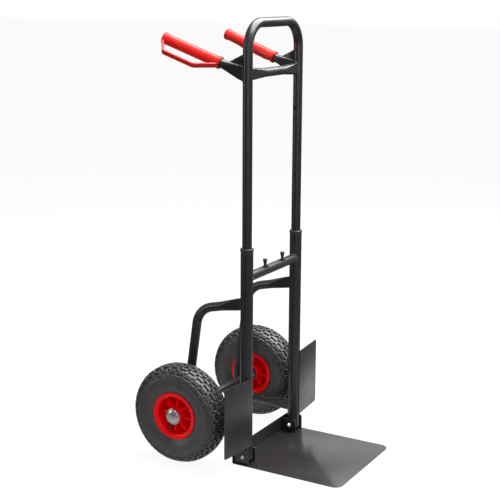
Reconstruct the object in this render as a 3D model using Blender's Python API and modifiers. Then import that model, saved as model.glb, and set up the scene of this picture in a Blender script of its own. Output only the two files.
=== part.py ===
"""Two-wheel hand truck with a telescopic handle frame, a folding toe plate and air tyres.

Metres, +Z up. The origin is on the floor below the middle of the uprights' plane.
X runs along the axle, the toe plate points to -Y and the wheels stand towards +Y.
"left" is the -X side and "right" the +X side, as seen by someone facing the toe plate.
"""
import math

import bmesh
import bpy
from mathutils import Matrix, Vector

MM = 0.001
GAP = 0.3 * MM                       # between pieces that touch on the real truck
MERGE = 0.003 * MM                   # points nearer than this are one
SIDES = 16                           # facets round a frame tube

# telescopic uprights
UPRIGHT_X = 130 * MM
OUTER_R = 16 * MM
INNER_R = 12.2 * MM
TUBE_WALL = 1.5 * MM
OUTER_TOP_Z = 555 * MM
INNER_BOTTOM_Z = 455 * MM
INNER_TOP_Z = 1117 * MM
TOP_BEND_R = 64 * MM
TRAVEL = 400 * MM
COLLAR_R = 17.1 * MM
COLLAR_TOP_Z = 568.7 * MM
COLLAR_PLUG = 20 * MM

# handles and grips
CROSS_Z = 996 * MM
CROSS_R = 11.3 * MM
HANDLE_Z = 994 * MM
HANDLE_RISE = math.radians(20.2)
HANDLE_SPLAY = math.radians(5.15)
HANDLE_R = 11 * MM
HANDLE_END = 236 * MM
GRIP_START = 77 * MM
GRIP_END = 242 * MM
GRIP_R = 14 * MM
GRIP_RING_R = 15.6 * MM
GUARD_TILT = math.radians(28)        # the knuckle guard leans this far below level
GUARD_REACH = 48 * MM
GUARD_WIDE = 13 * MM
GUARD_THICK = 6 * MM

# handle latch
LATCH_Z = 493.4 * MM
LATCH_R = 12.5 * MM
PIN_R = 4 * MM
PIN_TIP_X = UPRIGHT_X - INNER_R - 0.4 * MM
SLIDER_IN_X = 38 * MM
SLIDER_OUT_X = 54.5 * MM
SLIDER_R = 10.6 * MM
KNOB_X = 46 * MM
KNOB_Y = -5 * MM
KNOB_TOP_Z = 526 * MM
STOP_X = 12 * MM
LATCH_AXIS = Vector((0, 0, LATCH_Z))
LATCH_OUT = 4 * MM                   # pin travel into the lock hole
LATCH_IN = 9 * MM                    # pin travel when the knobs are squeezed together

# side tubes and axle
SIDE_R = 12 * MM
SIDE_TOP_Z = 425.3 * MM
SIDE_LOW_Z = 74 * MM
AXLE_Y = 156 * MM
AXLE_Z = 130 * MM
AXLE_TUBE_R = 9.8 * MM
AXLE_TUBE_X = 160 * MM
AXLE_R = 7.5 * MM
AXLE_END_X = 236 * MM

# wheels
WHEEL_X = 197 * MM
HUB_HALF = 33.5 * MM
BEARING_R = 17.5 * MM
BEARING_W = 11 * MM
RIB_COUNT = 8
WHEEL_SIDES = 24
STEM_R = 4 * MM
STEM_TIP_R = 40 * MM
STEM_X = 17 * MM
STEM_TURN = math.radians(-62)        # where the valve stands round the wheel

# wheel guards and toe plate
PLATE_T = 1.5 * MM
GUARD_SWEEP = math.radians(5)
FENDER_W = 120.3 * MM
FENDER_LOW_Z = 50.5 * MM
FENDER_TOP_Z = 233 * MM
TOE_HALF = 154.5 * MM
TOE_FRONT_Y = -278 * MM
TOE_REAR_Y = 28 * MM
TOE_T = 2 * MM
TOE_CORNER_R = 22 * MM
FLANGE_TOP_Z = 41 * MM
EAR_T = 3 * MM
EAR_TOP_Z = 44 * MM
HINGE_Y = 1 * MM
HINGE_Z = 21.5 * MM
HINGE_AXIS = Vector((0, HINGE_Y, HINGE_Z))
HINGE_R = 4 * MM
FOOT_R = 18.4 * MM                   # the upright's foot is rounded about the hinge bolt

POWDER = ((0.055, 0.055, 0.058), 0.35, 0.38)
PLASTIC = ((0.03, 0.03, 0.032), 0.0, 0.5)
RED = ((0.62, 0.02, 0.02), 0.0, 0.3)
RUBBER = ((0.035, 0.035, 0.037), 0.0, 0.8)
ZINC = ((0.6, 0.6, 0.6), 1.0, 0.3)


# ---------------------------------------------------------------- scene helpers
def clear_scene():
    for obj in list(bpy.data.objects):
        bpy.data.objects.remove(obj, do_unlink=True)


def make_collection(name):
    group = bpy.data.collections.new(name)
    bpy.context.scene.collection.children.link(group)
    return group


def make_material(name, look):
    colour, metallic, roughness = look
    mat = bpy.data.materials.new(name)
    mat.use_nodes = True
    shader = mat.node_tree.nodes["Principled BSDF"]
    shader.inputs["Base Color"].default_value = (*colour, 1.0)
    shader.inputs["Metallic"].default_value = metallic
    shader.inputs["Roughness"].default_value = roughness
    mat.diffuse_color = (*colour, 1.0)
    return mat


def add_piece(name, bm, look, smooth=True, pivot=None):
    """Put a finished bmesh into the scene as one named piece, with its origin on its pivot."""
    bmesh.ops.remove_doubles(bm, verts=bm.verts, dist=MERGE)
    bmesh.ops.recalc_face_normals(bm, faces=bm.faces)
    mesh = bpy.data.meshes.new(name)
    bm.to_mesh(mesh)
    bm.free()
    obj = bpy.data.objects.new(name, mesh)
    if pivot:
        mesh.transform(Matrix.Translation(-pivot))
        obj.location = pivot
    PARTS.objects.link(obj)
    mesh.materials.append(make_material(name, look))
    if smooth:
        mesh.shade_smooth()
        mesh.set_sharp_from_angle(angle=math.radians(35))
    return obj


def add_cutter(name, bm):
    bmesh.ops.recalc_face_normals(bm, faces=bm.faces)
    mesh = bpy.data.meshes.new(name)
    bm.to_mesh(mesh)
    bm.free()
    obj = bpy.data.objects.new(name, mesh)
    CUTTERS.objects.link(obj)
    obj.hide_render = True
    obj.display_type = "WIRE"
    return obj


def combine(obj, cutter, operation="DIFFERENCE"):
    mod = obj.modifiers.new(operation.title(), "BOOLEAN")
    mod.operation = operation
    mod.solver = "EXACT"
    mod.object = cutter


# ---------------------------------------------------------------- shape helpers
def bridge(bm, ring_a, ring_b):
    """Join two rings of a loft whose sections differ."""
    count = len(ring_a)
    for i in range(count):
        j = (i + 1) % count
        bm.faces.new((ring_a[i], ring_a[j], ring_b[j], ring_b[i]))


def section_ring(bm, station, shrink, sides):
    """One elliptical ring of a swept tube. A station is (centre, u, v, half u, half v)."""
    centre, u, v, a, b = station
    ring = []
    for i in range(sides):
        t = 2 * math.pi * i / sides
        point = centre + u * ((a - shrink) * math.cos(t)) + v * ((b - shrink) * math.sin(t))
        ring.append(bm.verts.new(point))
    return ring


def pressed_tube(stations, wall, sides=SIDES):
    """A tube whose section changes along it, open at both ends, or a solid bar when wall is None."""
    bm = bmesh.new()
    outer = [section_ring(bm, s, 0.0, sides) for s in stations]
    for a, b in zip(outer, outer[1:]):
        bridge(bm, a, b)
    if wall is None:
        bm.faces.new(outer[0])
        bm.faces.new(outer[-1])
        return bm
    inner = [section_ring(bm, s, wall, sides) for s in stations]
    for a, b in zip(inner, inner[1:]):
        bridge(bm, a, b)
    bridge(bm, outer[0], inner[0])
    bridge(bm, outer[-1], inner[-1])
    return bm


def filleted_path(corners, radii, steps):
    """Round the inner corners of a flat polyline. Gives (point, direction) pairs."""
    path = [(corners[0], (corners[1] - corners[0]).normalized())]
    for before, corner, after, radius in zip(corners, corners[1:], corners[2:], radii):
        d_in = (corner - before).normalized()
        d_out = (after - corner).normalized()
        turn = d_in.angle(d_out)
        setback = radius * math.tan(turn / 2)
        side = (d_out - d_in * d_in.dot(d_out)).normalized()
        start = corner - d_in * setback
        for i in range(steps + 1):
            t = turn * i / steps
            point = start + d_in * (radius * math.sin(t)) + side * (radius * (1 - math.cos(t)))
            path.append((point, d_in * math.cos(t) + side * math.sin(t)))
    path.append((corners[-1], (corners[-1] - corners[-2]).normalized()))
    return path


def flat_stations(path, normal, half_u, half_v):
    """Stations of a tube that bends in one plane; half_u is along the plane's normal."""
    stations = []
    for i, (point, direction) in enumerate(path):
        v = normal.cross(direction).normalized()
        a = half_u[i] if isinstance(half_u, list) else half_u
        b = half_v[i] if isinstance(half_v, list) else half_v
        stations.append((point, normal, v, a, b))
    return stations


def spoke_of(axis):
    """A unit vector square to an axis, where the first facet edge of a round piece lies."""
    ref = Vector((0, 0, 1)) if abs(axis.z) < 0.9 else Vector((1, 0, 0))
    return axis.cross(ref).normalized()


def straight_bar(start, end, radius, sides=SIDES):
    """A solid round bar between two points."""
    axis = (end - start).normalized()
    spoke = spoke_of(axis)
    turn = Matrix((spoke.cross(axis), spoke, axis)).transposed().to_4x4()
    bm = bmesh.new()
    bmesh.ops.create_cone(bm, cap_ends=True, segments=sides, radius1=radius, radius2=radius,
                          depth=(end - start).length, matrix=Matrix.Translation((start + end) / 2) @ turn)
    return bm


def straight_tube(start, end, radius, wall, sides=SIDES):
    """A round tube between two points, open at both ends."""
    length = (end - start).length
    profile = [(radius, 0), (radius, length), (radius - wall, length), (radius - wall, 0)]
    return turned(profile, start, end - start, sides)


def turned(profile, origin, axis, sides, closed=True, bm=None):
    """Spin (radius, distance along the axis) points round the axis."""
    bm = bm or bmesh.new()
    axis = axis.normalized()
    spoke = spoke_of(axis)
    verts = [bm.verts.new(origin + spoke * radius + axis * along) for radius, along in profile]
    pairs = list(zip(range(len(verts)), range(1, len(verts))))
    if closed:
        pairs.append((len(verts) - 1, 0))
    edges = [bm.edges.new((verts[a], verts[b])) for a, b in pairs if profile[a][0] + profile[b][0] > 0]
    bmesh.ops.spin(bm, geom=verts + edges, cent=origin, axis=axis, dvec=(0, 0, 0), angle=2 * math.pi,
                   steps=sides, use_merge=True, use_duplicate=False)
    bmesh.ops.remove_doubles(bm, verts=bm.verts, dist=MERGE)
    return bm


def extruded(outline, thickness, bm=None):
    """A flat plate from 3-D outline points, thickened along a vector."""
    bm = bm or bmesh.new()
    sheet = bm.faces.new([bm.verts.new(point) for point in outline])
    grown = bmesh.ops.extrude_face_region(bm, geom=[sheet], use_keep_orig=True)["geom"]
    raised = [item for item in grown if isinstance(item, bmesh.types.BMVert)]
    bmesh.ops.translate(bm, vec=thickness, verts=raised)
    return bm


def box(low, high):
    bm = bmesh.new()
    bmesh.ops.create_cube(bm, size=1.0)
    low, high = Vector(low), Vector(high)
    bmesh.ops.scale(bm, vec=high - low, verts=bm.verts)
    bmesh.ops.translate(bm, vec=(low + high) / 2, verts=bm.verts)
    return bm


def curve_tube(name, points, radius):
    """The open skin of a round tube along a line of points, as a mesh in a bmesh."""
    curve = bpy.data.curves.new(name, "CURVE")
    curve.dimensions = "3D"
    curve.bevel_depth = radius
    curve.bevel_resolution = SIDES // 2 - 2
    line = curve.splines.new("POLY")
    line.points.add(len(points) - 1)
    for spot, point in zip(line.points, points):
        spot.co = (*point, 1)
    holder = bpy.data.objects.new(name, curve)
    PARTS.objects.link(holder)
    seen = holder.evaluated_get(bpy.context.evaluated_depsgraph_get())
    mesh = bpy.data.meshes.new_from_object(seen)
    bpy.data.objects.remove(holder, do_unlink=True)
    bm = bmesh.new()
    bm.from_mesh(mesh)
    bpy.data.meshes.remove(mesh)
    return bm


def add_wall(obj, wall):
    """Thicken an open skin inwards."""
    mod = obj.modifiers.new("Wall", "SOLIDIFY")
    mod.thickness = wall
    mod.offset = -1
    mod.use_even_offset = True


def rounded_corner(corner, along_in, along_out, radius, steps=5):
    """Points of a fillet where an outline arrives along one direction and leaves along another."""
    start = corner - along_in * radius
    centre = start + along_out * radius
    points = []
    for i in range(steps + 1):
        t = math.pi / 2 * i / steps
        points.append(centre - along_out * (radius * math.cos(t)) + along_in * (radius * math.sin(t)))
    return points


def side_name(s, what):
    return ("left_" if s < 0 else "right_") + what


# ---------------------------------------------------------------- uprights
def outer_tube(s):
    x = s * UPRIGHT_X
    bm = straight_tube(Vector((x, 0, 2 * MM)), Vector((x, 0, OUTER_TOP_Z)), OUTER_R, TUBE_WALL)
    tube = add_piece(side_name(s, "outer_tube"), bm, POWDER)
    combine(tube, foot_cutter(s))
    bolt = straight_bar(Vector((x - 30 * MM, HINGE_Y, HINGE_Z)), Vector((x + 30 * MM, HINGE_Y, HINGE_Z)),
                        HINGE_R + GAP, 16)
    combine(tube, add_cutter(side_name(s, "hinge_hole_cutter"), bolt))
    pin = straight_bar(Vector((s * 105 * MM, 0, LATCH_Z)), Vector((x, 0, LATCH_Z)), PIN_R + GAP, 16)
    combine(tube, add_cutter(side_name(s, "pin_hole_cutter"), pin))


def foot_cutter(s):
    """A block with a round hollow that leaves the upright's foot rounded about the hinge bolt."""
    x0, x1 = s * UPRIGHT_X - 25 * MM, s * UPRIGHT_X + 25 * MM
    arc = []
    for i in range(13):
        t = math.pi * i / 12
        arc.append(Vector((x0, HINGE_Y - FOOT_R * math.cos(t), HINGE_Z - FOOT_R * math.sin(t))))
    outline = [Vector((x0, HINGE_Y - 30 * MM, HINGE_Z))] + arc
    outline += [Vector((x0, HINGE_Y + 30 * MM, HINGE_Z)), Vector((x0, HINGE_Y + 30 * MM, -20 * MM)),
                Vector((x0, HINGE_Y - 30 * MM, -20 * MM))]
    return add_cutter(side_name(s, "foot_cutter"), extruded(outline, Vector((x1 - x0, 0, 0))))


def collar(s):
    """Plastic bush that plugs into the outer tube and guides the inner one."""
    bore = INNER_R + GAP
    plug = OUTER_R - TUBE_WALL - GAP
    low = OUTER_TOP_Z + GAP
    profile = [(bore, OUTER_TOP_Z - COLLAR_PLUG), (plug, OUTER_TOP_Z - COLLAR_PLUG), (plug, low),
               (COLLAR_R - 1 * MM, low), (COLLAR_R - 0.7 * MM, low + 9 * MM), (COLLAR_R, low + 10 * MM),
               (COLLAR_R, COLLAR_TOP_Z - 0.8 * MM), (COLLAR_R - 0.8 * MM, COLLAR_TOP_Z), (bore, COLLAR_TOP_Z)]
    bm = turned(profile, Vector((s * UPRIGHT_X, 0, 0)), Vector((0, 0, 1)), SIDES)
    add_piece(side_name(s, "collar"), bm, PLASTIC)


def upper_u_tube():
    z = Vector((0, 0, 1))
    corners = [Vector((-UPRIGHT_X, 0, INNER_BOTTOM_Z)), Vector((-UPRIGHT_X, 0, INNER_TOP_Z)),
               Vector((UPRIGHT_X, 0, INNER_TOP_Z)), Vector((UPRIGHT_X, 0, INNER_BOTTOM_Z))]
    path = filleted_path(corners, [TOP_BEND_R, TOP_BEND_R], 6)
    skin = curve_tube("upper_u_line", [point for point, _ in path], INNER_R)
    tube = add_piece("upper_u_tube", skin, POWDER)
    add_wall(tube, TUBE_WALL)
    for s in (-1, 1):
        for level, lift in (("extended", 0.0), ("collapsed", TRAVEL)):
            start = Vector((s * 105 * MM, 0, 0)) + z * (LATCH_Z + lift)
            bar = straight_bar(start, start + Vector((s * 22 * MM, 0, 0)), PIN_R + 2 * GAP, 16)
            combine(tube, add_cutter(side_name(s, level + "_lock_cutter"), bar))


def glide(s):
    """Plastic foot on the inner tube that slides down the outer one."""
    plug = INNER_R - TUBE_WALL - GAP
    slide = OUTER_R - TUBE_WALL - GAP
    low = INNER_BOTTOM_Z - GAP
    profile = [(7 * MM, low - 5 * MM), (slide, low - 5 * MM), (slide, low), (plug, low),
               (plug, low + 18 * MM), (7 * MM, low + 18 * MM)]
    bm = turned(profile, Vector((s * UPRIGHT_X, 0, 0)), Vector((0, 0, 1)), SIDES)
    add_piece(side_name(s, "glide"), bm, PLASTIC)


def upright_cutter(name, s, radius, low, high):
    x = s * UPRIGHT_X
    return add_cutter(name, straight_bar(Vector((x, 0, low)), Vector((x, 0, high)), radius, 30))


# ---------------------------------------------------------------- handles and grips
def handle_cross_tube():
    """Cross tube whose ends are pressed tall and thin and cut to fit round the uprights."""
    round_r = CROSS_R / MM
    spots = [(-122, 6, 15), (-106, 6.4, 14.8), (-80, 9, 13), (-48, round_r, round_r)]
    spots += [(-x, a, b) for x, a, b in reversed(spots)]
    stations = [(Vector((x * MM, 0, CROSS_Z)), Vector((0, 1, 0)), Vector((0, 0, 1)), a * MM, b * MM)
                for x, a, b in spots]
    tube = add_piece("handle_cross_tube", pressed_tube(stations, TUBE_WALL), POWDER)
    for s in (-1, 1):
        cutter = upright_cutter(side_name(s, "cross_saddle_cutter"), s, INNER_R + GAP, 0.95, 1.05)
        combine(tube, cutter)


def handle_frame(s):
    """Origin on the upright's axis, direction along the handle, and the guard's own direction."""
    rise, splay = HANDLE_RISE, HANDLE_SPLAY
    along = Vector((s * math.sin(splay) * math.cos(rise), math.cos(splay) * math.cos(rise), math.sin(rise)))
    out = Vector((s * math.cos(GUARD_TILT), 0, -math.sin(GUARD_TILT)))
    out = (out - along * out.dot(along)).normalized()
    return Vector((s * UPRIGHT_X, 0, HANDLE_Z)), along, out


def handle_stations(s, extra=0.0):
    """Sections of the handle tube, pressed tall and thin at the upright."""
    origin, along, _ = handle_frame(s)
    side = along.cross(Vector((0, 0, 1))).normalized()
    up = side.cross(along).normalized()
    round_r = HANDLE_R / MM
    spots = [(4, 5, 19), (20, 5.6, 18.4), (36, 8, 15), (54, 10.6, 11.6), (66, round_r, round_r)]
    spots += [(HANDLE_END / MM, round_r, round_r)]
    return [(origin + along * (d * MM), side, up, a * MM + extra, b * MM + extra) for d, a, b in spots]


def handle_tube(s):
    tube = add_piece(side_name(s, "handle_tube"), pressed_tube(handle_stations(s), TUBE_WALL), POWDER)
    combine(tube, upright_cutter(side_name(s, "handle_saddle_cutter"), s, INNER_R + GAP, 0.93, 1.07))


def handle_gusset(s):
    """Three-cornered web between the upright and the top of the handle tube."""
    origin, along, _ = handle_frame(s)
    side = along.cross(Vector((0, 0, 1))).normalized()
    up = side.cross(along).normalized()
    flat = Vector((along.x, along.y, 0)).normalized()
    base = origin + flat * (INNER_R + 2 * GAP)
    low = base + Vector((0, 0, 10 * MM))
    far = origin + along * (56 * MM) + up * (6 * MM)
    top = base + Vector((0, 0, 50 * MM))
    outline = [p - side * (1.5 * MM) for p in (low, far, far + up * (7.4 * MM), top)]
    web = add_piece(side_name(s, "handle_gusset"), extruded(outline, side * (3 * MM)), POWDER, smooth=False)
    room = pressed_tube(handle_stations(s, GAP), None)
    combine(web, add_cutter(side_name(s, "gusset_room_cutter"), room))


def grip(s):
    """Moulded grip sleeve with a knuckle guard strap on its outer side."""
    origin, along, out = handle_frame(s)
    bore = HANDLE_R + GAP
    ring, body = GRIP_RING_R, GRIP_R
    start, end = GRIP_START, GRIP_END
    profile = [(bore, start), (ring - 0.8 * MM, start), (ring, start + 0.8 * MM), (ring, start + 6 * MM),
               (body, start + 7.2 * MM), (body, end - 6 * MM), (ring, end - 5 * MM), (ring, end - 1 * MM),
               (ring - 1.2 * MM, end), (0, end), (0, end - 4 * MM), (bore, end - 4 * MM)]
    sleeve = add_piece(side_name(s, "grip"), turned(profile, origin, along, SIDES), RED)
    strap = guard_strap(origin, along, out)
    combine(sleeve, add_cutter(side_name(s, "grip_strap_blank"), strap), "UNION")
    rod = straight_bar(origin + along * (start - 20 * MM), origin + along * (end - 4.2 * MM), bore - 0.05 * MM)
    combine(sleeve, add_cutter(side_name(s, "grip_bore_cutter"), rod))


def guard_strap(origin, along, out):
    normal = along.cross(out).normalized()
    foot = 12.6 * MM
    corners = [(GRIP_START + 4 * MM, foot), (126 * MM, GUARD_REACH), (213 * MM, GUARD_REACH),
               (GRIP_END - 4 * MM, foot)]
    corners = [origin + along * a + out * b for a, b in corners]
    path = filleted_path(corners, [20 * MM, 9 * MM], 4)
    bm = bmesh.new()
    rings = []
    for point, direction in path:
        inward = normal.cross(direction).normalized() * (GUARD_THICK / 2)
        across = normal * (GUARD_WIDE / 2)
        ease = across * 0.72
        thin = inward * 0.45
        ring = [point + across - thin, point + across + thin, point + ease + inward, point - ease + inward,
                point - across + thin, point - across - thin, point - ease - inward, point + ease - inward]
        rings.append([bm.verts.new(p) for p in ring])
    for a, b in zip(rings, rings[1:]):
        bridge(bm, a, b)
    bm.faces.new(rings[0])
    bm.faces.new(rings[-1])
    return bm


# ---------------------------------------------------------------- handle latch
def latch_tube():
    x = UPRIGHT_X - 8 * MM
    bm = straight_tube(Vector((-x, 0, LATCH_Z)), Vector((x, 0, LATCH_Z)), LATCH_R, TUBE_WALL)
    tube = add_piece("latch_tube", bm, POWDER)
    for s in (-1, 1):
        cutter = upright_cutter(side_name(s, "latch_saddle_cutter"), s, OUTER_R + GAP, 0.46, 0.53)
        combine(tube, cutter)
        ends = sorted((s * (KNOB_X - LATCH_IN - 4.6 * MM), s * (KNOB_X + LATCH_OUT + 4.6 * MM)))
        slot = box((ends[0], KNOB_Y - 4.4 * MM, LATCH_Z + 4 * MM),
                   (ends[1], KNOB_Y + 4.4 * MM, LATCH_Z + 20 * MM))
        combine(tube, add_cutter(side_name(s, "latch_slot_cutter"), slot))


def latch_stop():
    radius = LATCH_R - TUBE_WALL - GAP
    bm = straight_bar(Vector((-STOP_X, 0, LATCH_Z)), Vector((STOP_X, 0, LATCH_Z)), radius)
    add_piece("latch_stop", bm, PLASTIC)


def latch_pin(s):
    """Slider with the lock pin on its outer end; the knob's stem stands in its socket."""
    profile = [(0, SLIDER_IN_X), (SLIDER_R - 1 * MM, SLIDER_IN_X), (SLIDER_R, SLIDER_IN_X + 1 * MM),
               (SLIDER_R, SLIDER_OUT_X - 1 * MM), (SLIDER_R - 1 * MM, SLIDER_OUT_X), (PIN_R, SLIDER_OUT_X),
               (PIN_R, PIN_TIP_X - 1 * MM), (PIN_R - 1 * MM, PIN_TIP_X), (0, PIN_TIP_X)]
    bm = turned(profile, Vector((0, 0, LATCH_Z)), Vector((s, 0, 0)), SIDES, closed=False)
    pin = add_piece(side_name(s, "latch_pin"), bm, ZINC, pivot=LATCH_AXIS)
    low = Vector((s * KNOB_X, KNOB_Y, LATCH_Z - 2 * MM))
    socket = straight_bar(low, low + Vector((0, 0, 20 * MM)), 3.9 * MM, 16)
    combine(pin, add_cutter(side_name(s, "knob_socket_cutter"), socket))


def latch_knob(s):
    low = LATCH_Z - 1.7 * MM
    profile = [(0, low), (3.6 * MM, low), (3.6 * MM, 509 * MM), (4.5 * MM, 517 * MM),
               (5.7 * MM, KNOB_TOP_Z - 2 * MM), (5.2 * MM, KNOB_TOP_Z), (0, KNOB_TOP_Z)]
    bm = turned(profile, Vector((s * KNOB_X, KNOB_Y, 0)), Vector((0, 0, 1)), 12, closed=False)
    add_piece(side_name(s, "latch_knob"), bm, PLASTIC, pivot=LATCH_AXIS)


def latch_spring(s):
    """Compression spring between the centre stop and the slider."""
    wire, coil, turns = 0.7 * MM, 7.5 * MM, 4
    start = STOP_X + GAP + wire
    length = SLIDER_IN_X - STOP_X - 2 * GAP - 2 * wire
    steps = turns * 9
    stations = []
    for i in range(steps + 1):
        t = 2 * math.pi * turns * i / steps
        spoke = Vector((0, math.cos(t), math.sin(t)))
        centre = Vector((s * (start + length * i / steps), 0, LATCH_Z)) + spoke * coil
        stations.append((centre, spoke, Vector((1, 0, 0)), wire, wire))
    add_piece(side_name(s, "latch_spring"), pressed_tube(stations, None, 4), ZINC, pivot=LATCH_AXIS)


# ---------------------------------------------------------------- side tubes and axle
def side_tube(s):
    """Bent tube from the upright back and down round the axle and forward again."""
    x = s * UPRIGHT_X
    corners = [Vector((x, 6 * MM, SIDE_TOP_Z)), Vector((x, 142.5 * MM, 393.8 * MM)),
               Vector((x, 188.7 * MM, SIDE_LOW_Z)), Vector((x, 6 * MM, SIDE_LOW_Z))]
    bends = filleted_path(corners, [58 * MM, 62 * MM], 8)
    first, last = bends[0], bends[-1]
    top = [(first[0] + first[1] * (d * MM), first[1]) for d in (0, 14, 34, 60)]
    low = [(last[0] - last[1] * (d * MM), last[1]) for d in (66, 38, 14, 0)]
    path = top + bends[1:-1] + low
    round_r = SIDE_R / MM
    wide = [6, 6.2, 8.8] + [round_r] * len(bends) + [8.8, 6.2, 6]
    tall = [15.6, 15.2, 13.6] + [round_r] * len(bends) + [14.2, 16, 16.4]
    stations = flat_stations(path, Vector((1, 0, 0)), [a * MM for a in wide], [b * MM for b in tall])
    tube = add_piece(side_name(s, "side_tube"), pressed_tube(stations, TUBE_WALL, 12), POWDER)
    combine(tube, upright_cutter(side_name(s, "side_saddle_cutter"), s, OUTER_R + GAP, 0.04, 0.46))


def axle():
    start, end = Vector((-AXLE_TUBE_X, AXLE_Y, AXLE_Z)), Vector((AXLE_TUBE_X, AXLE_Y, AXLE_Z))
    add_piece("axle_tube", straight_tube(start, end, AXLE_TUBE_R, AXLE_TUBE_R - AXLE_R - GAP), POWDER)
    profile = [(0, -AXLE_END_X), (AXLE_R - 1 * MM, -AXLE_END_X), (AXLE_R, -AXLE_END_X + 1 * MM),
               (AXLE_R, AXLE_END_X - 1 * MM), (AXLE_R - 1 * MM, AXLE_END_X), (0, AXLE_END_X)]
    bm = turned(profile, Vector((0, AXLE_Y, AXLE_Z)), Vector((1, 0, 0)), SIDES, closed=False)
    add_piece("axle_rod", bm, ZINC)


def axle_washer(s, which, start, thick, radius):
    bore = AXLE_R + GAP
    profile = [(bore, start), (radius, start), (radius, start + thick), (bore, start + thick)]
    bm = turned(profile, Vector((0, AXLE_Y, AXLE_Z)), Vector((s, 0, 0)), SIDES)
    add_piece(side_name(s, which), bm, ZINC)


def hub_cap(s):
    """Domed cap pressed on the axle's end."""
    base = 233.2 * MM
    bore = AXLE_R + GAP
    profile = [(bore, base), (20 * MM, base), (21 * MM, base + 0.8 * MM), (21 * MM, base + 3 * MM),
               (19.4 * MM, base + 4.2 * MM), (10 * MM, base + 7.2 * MM), (0, base + 8 * MM),
               (0, AXLE_END_X + GAP), (bore, AXLE_END_X + GAP)]
    bm = turned(profile, Vector((0, AXLE_Y, AXLE_Z)), Vector((s, 0, 0)), WHEEL_SIDES)
    add_piece(side_name(s, "hub_cap"), bm, ZINC)


# ---------------------------------------------------------------- wheels
def wheel_point(s):
    return Vector((s * WHEEL_X, AXLE_Y, AXLE_Z)), Vector((s, 0, 0))


def mirrored(half):
    """Profile points on the outer half, followed by the same points on the inner half."""
    return half + [(r, -x) for r, x in reversed(half) if abs(x) > 1e-9]


def tyre(s):
    outside = [(53.5, 24), (53.5, 31.5), (63, 31.8), (74, 38), (90, 41.4), (105, 41.6), (114, 38.8),
               (122.5, 31), (128, 20), (130, 8)]
    inside = [(121.5, 8), (117, 21), (104, 31), (86, 33), (66, 25.6)]
    outer = mirrored(outside)
    inner = [(r, -x) for r, x in reversed(inside)] + inside
    centre, axis = wheel_point(s)
    profile = [(r * MM, x * MM) for r, x in outer + inner]
    add_piece(side_name(s, "tyre"), turned(profile, centre, axis, WHEEL_SIDES), RUBBER, pivot=centre)


def rim(s):
    """Plastic rim with a middle web, stiffening ribs and a bearing seat in each end of its hub."""
    seat = BEARING_R + GAP
    half = HUB_HALF / MM
    seat_mm = seat / MM
    outside = [(12, half - 11.6), (seat_mm, half - 11.6), (seat_mm, half), (22.5, half), (23.5, 3.5),
               (47.5, 3.5), (49.5, 30), (60.6, 34.6), (62.1, 34.2), (62.1, 32.4), (53, 31.9), (52, 20)]
    centre, axis = wheel_point(s)
    profile = [(r * MM, x * MM) for r, x in outside + [(r, -x) for r, x in reversed(outside)]]
    body = add_piece(side_name(s, "rim"), turned(profile, centre, axis, WHEEL_SIDES), RED, pivot=centre)
    combine(body, add_cutter(side_name(s, "rim_rib_blanks"), rim_ribs(s)), "UNION")
    seats = turned([(0, -60 * MM), (12 * MM, -60 * MM), (12 * MM, 60 * MM), (0, 60 * MM)], centre, axis, 24,
                   closed=False)
    combine(body, add_cutter(side_name(s, "rim_bore_cutter"), seats))
    stem = stem_line(s)
    hole = straight_bar(stem(60 * MM), stem(30 * MM), STEM_R + GAP, 12)
    combine(body, add_cutter(side_name(s, "stem_hole_cutter"), hole))


def rim_ribs(s):
    """Radial webs on both faces of the rim's disc, all in one blank."""
    centre, axis = wheel_point(s)
    bm = bmesh.new()
    for i in range(RIB_COUNT):
        t = 2 * math.pi * (i + 0.5) / RIB_COUNT + STEM_TURN
        spoke = Vector((0, math.cos(t), math.sin(t)))
        across = axis.cross(spoke).normalized() * (1.6 * MM)
        for face in (1, -1):
            shape = [(21, 2.5), (50.6, 2.5), (50.6, 22), (21, 27)]
            outline = [centre + spoke * (r * MM) + axis * (face * x * MM) - across for r, x in shape]
            extruded(outline, across * 2, bm)
    return bm


def stem_line(s):
    """Point on the valve stem's axis at a given radius from the wheel's axis."""
    centre, axis = wheel_point(s)
    spoke = Vector((0, math.cos(STEM_TURN), math.sin(STEM_TURN)))
    return lambda radius: centre + axis * STEM_X + spoke * radius


def inner_tube(s):
    """Air tube with its valve stem, open through the stem's bore."""
    outside = [(54.5, 18), (67, 24), (87, 31.4), (105, 28.4), (119.6, 8)]
    inside = [(58, 15), (69, 20.4), (87, 27.4), (103, 24.6), (115.6, 6.6)]
    centre, axis = wheel_point(s)
    bm = bmesh.new()
    for half in (outside, inside):
        ring = half + [(r, -x) for r, x in reversed(half)]
        turned([(r * MM, x * MM) for r, x in ring], centre, axis, WHEEL_SIDES, bm=bm)
    body = add_piece(side_name(s, "inner_tube"), bm, RUBBER, pivot=centre)
    flip_inner_shell(body.data)
    stem = stem_line(s)
    stub = straight_bar(stem(58 * MM), stem(STEM_TIP_R), STEM_R, 12)
    combine(body, add_cutter(side_name(s, "valve_stem_blank"), stub), "UNION")
    bore = straight_bar(stem(66 * MM), stem(STEM_TIP_R - 2 * MM), 1.4 * MM, 8)
    combine(body, add_cutter(side_name(s, "valve_bore_cutter"), bore))


def flip_inner_shell(mesh):
    """Make the hollow's wall face into the hollow."""
    bm = bmesh.new()
    bm.from_mesh(mesh)
    bm.faces.ensure_lookup_table()
    seen, shells = set(), []
    for face in bm.faces:
        if face.index in seen:
            continue
        shells.append(linked_faces(face, seen))
    shells.sort(key=lambda faces: max(v.co.z for f in faces for v in f.verts))
    for shell, outward in ((shells[0], False), (shells[1], True)):
        bmesh.ops.recalc_face_normals(bm, faces=shell)
        if not outward:
            bmesh.ops.reverse_faces(bm, faces=shell)
    bm.to_mesh(mesh)
    bm.free()


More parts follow.
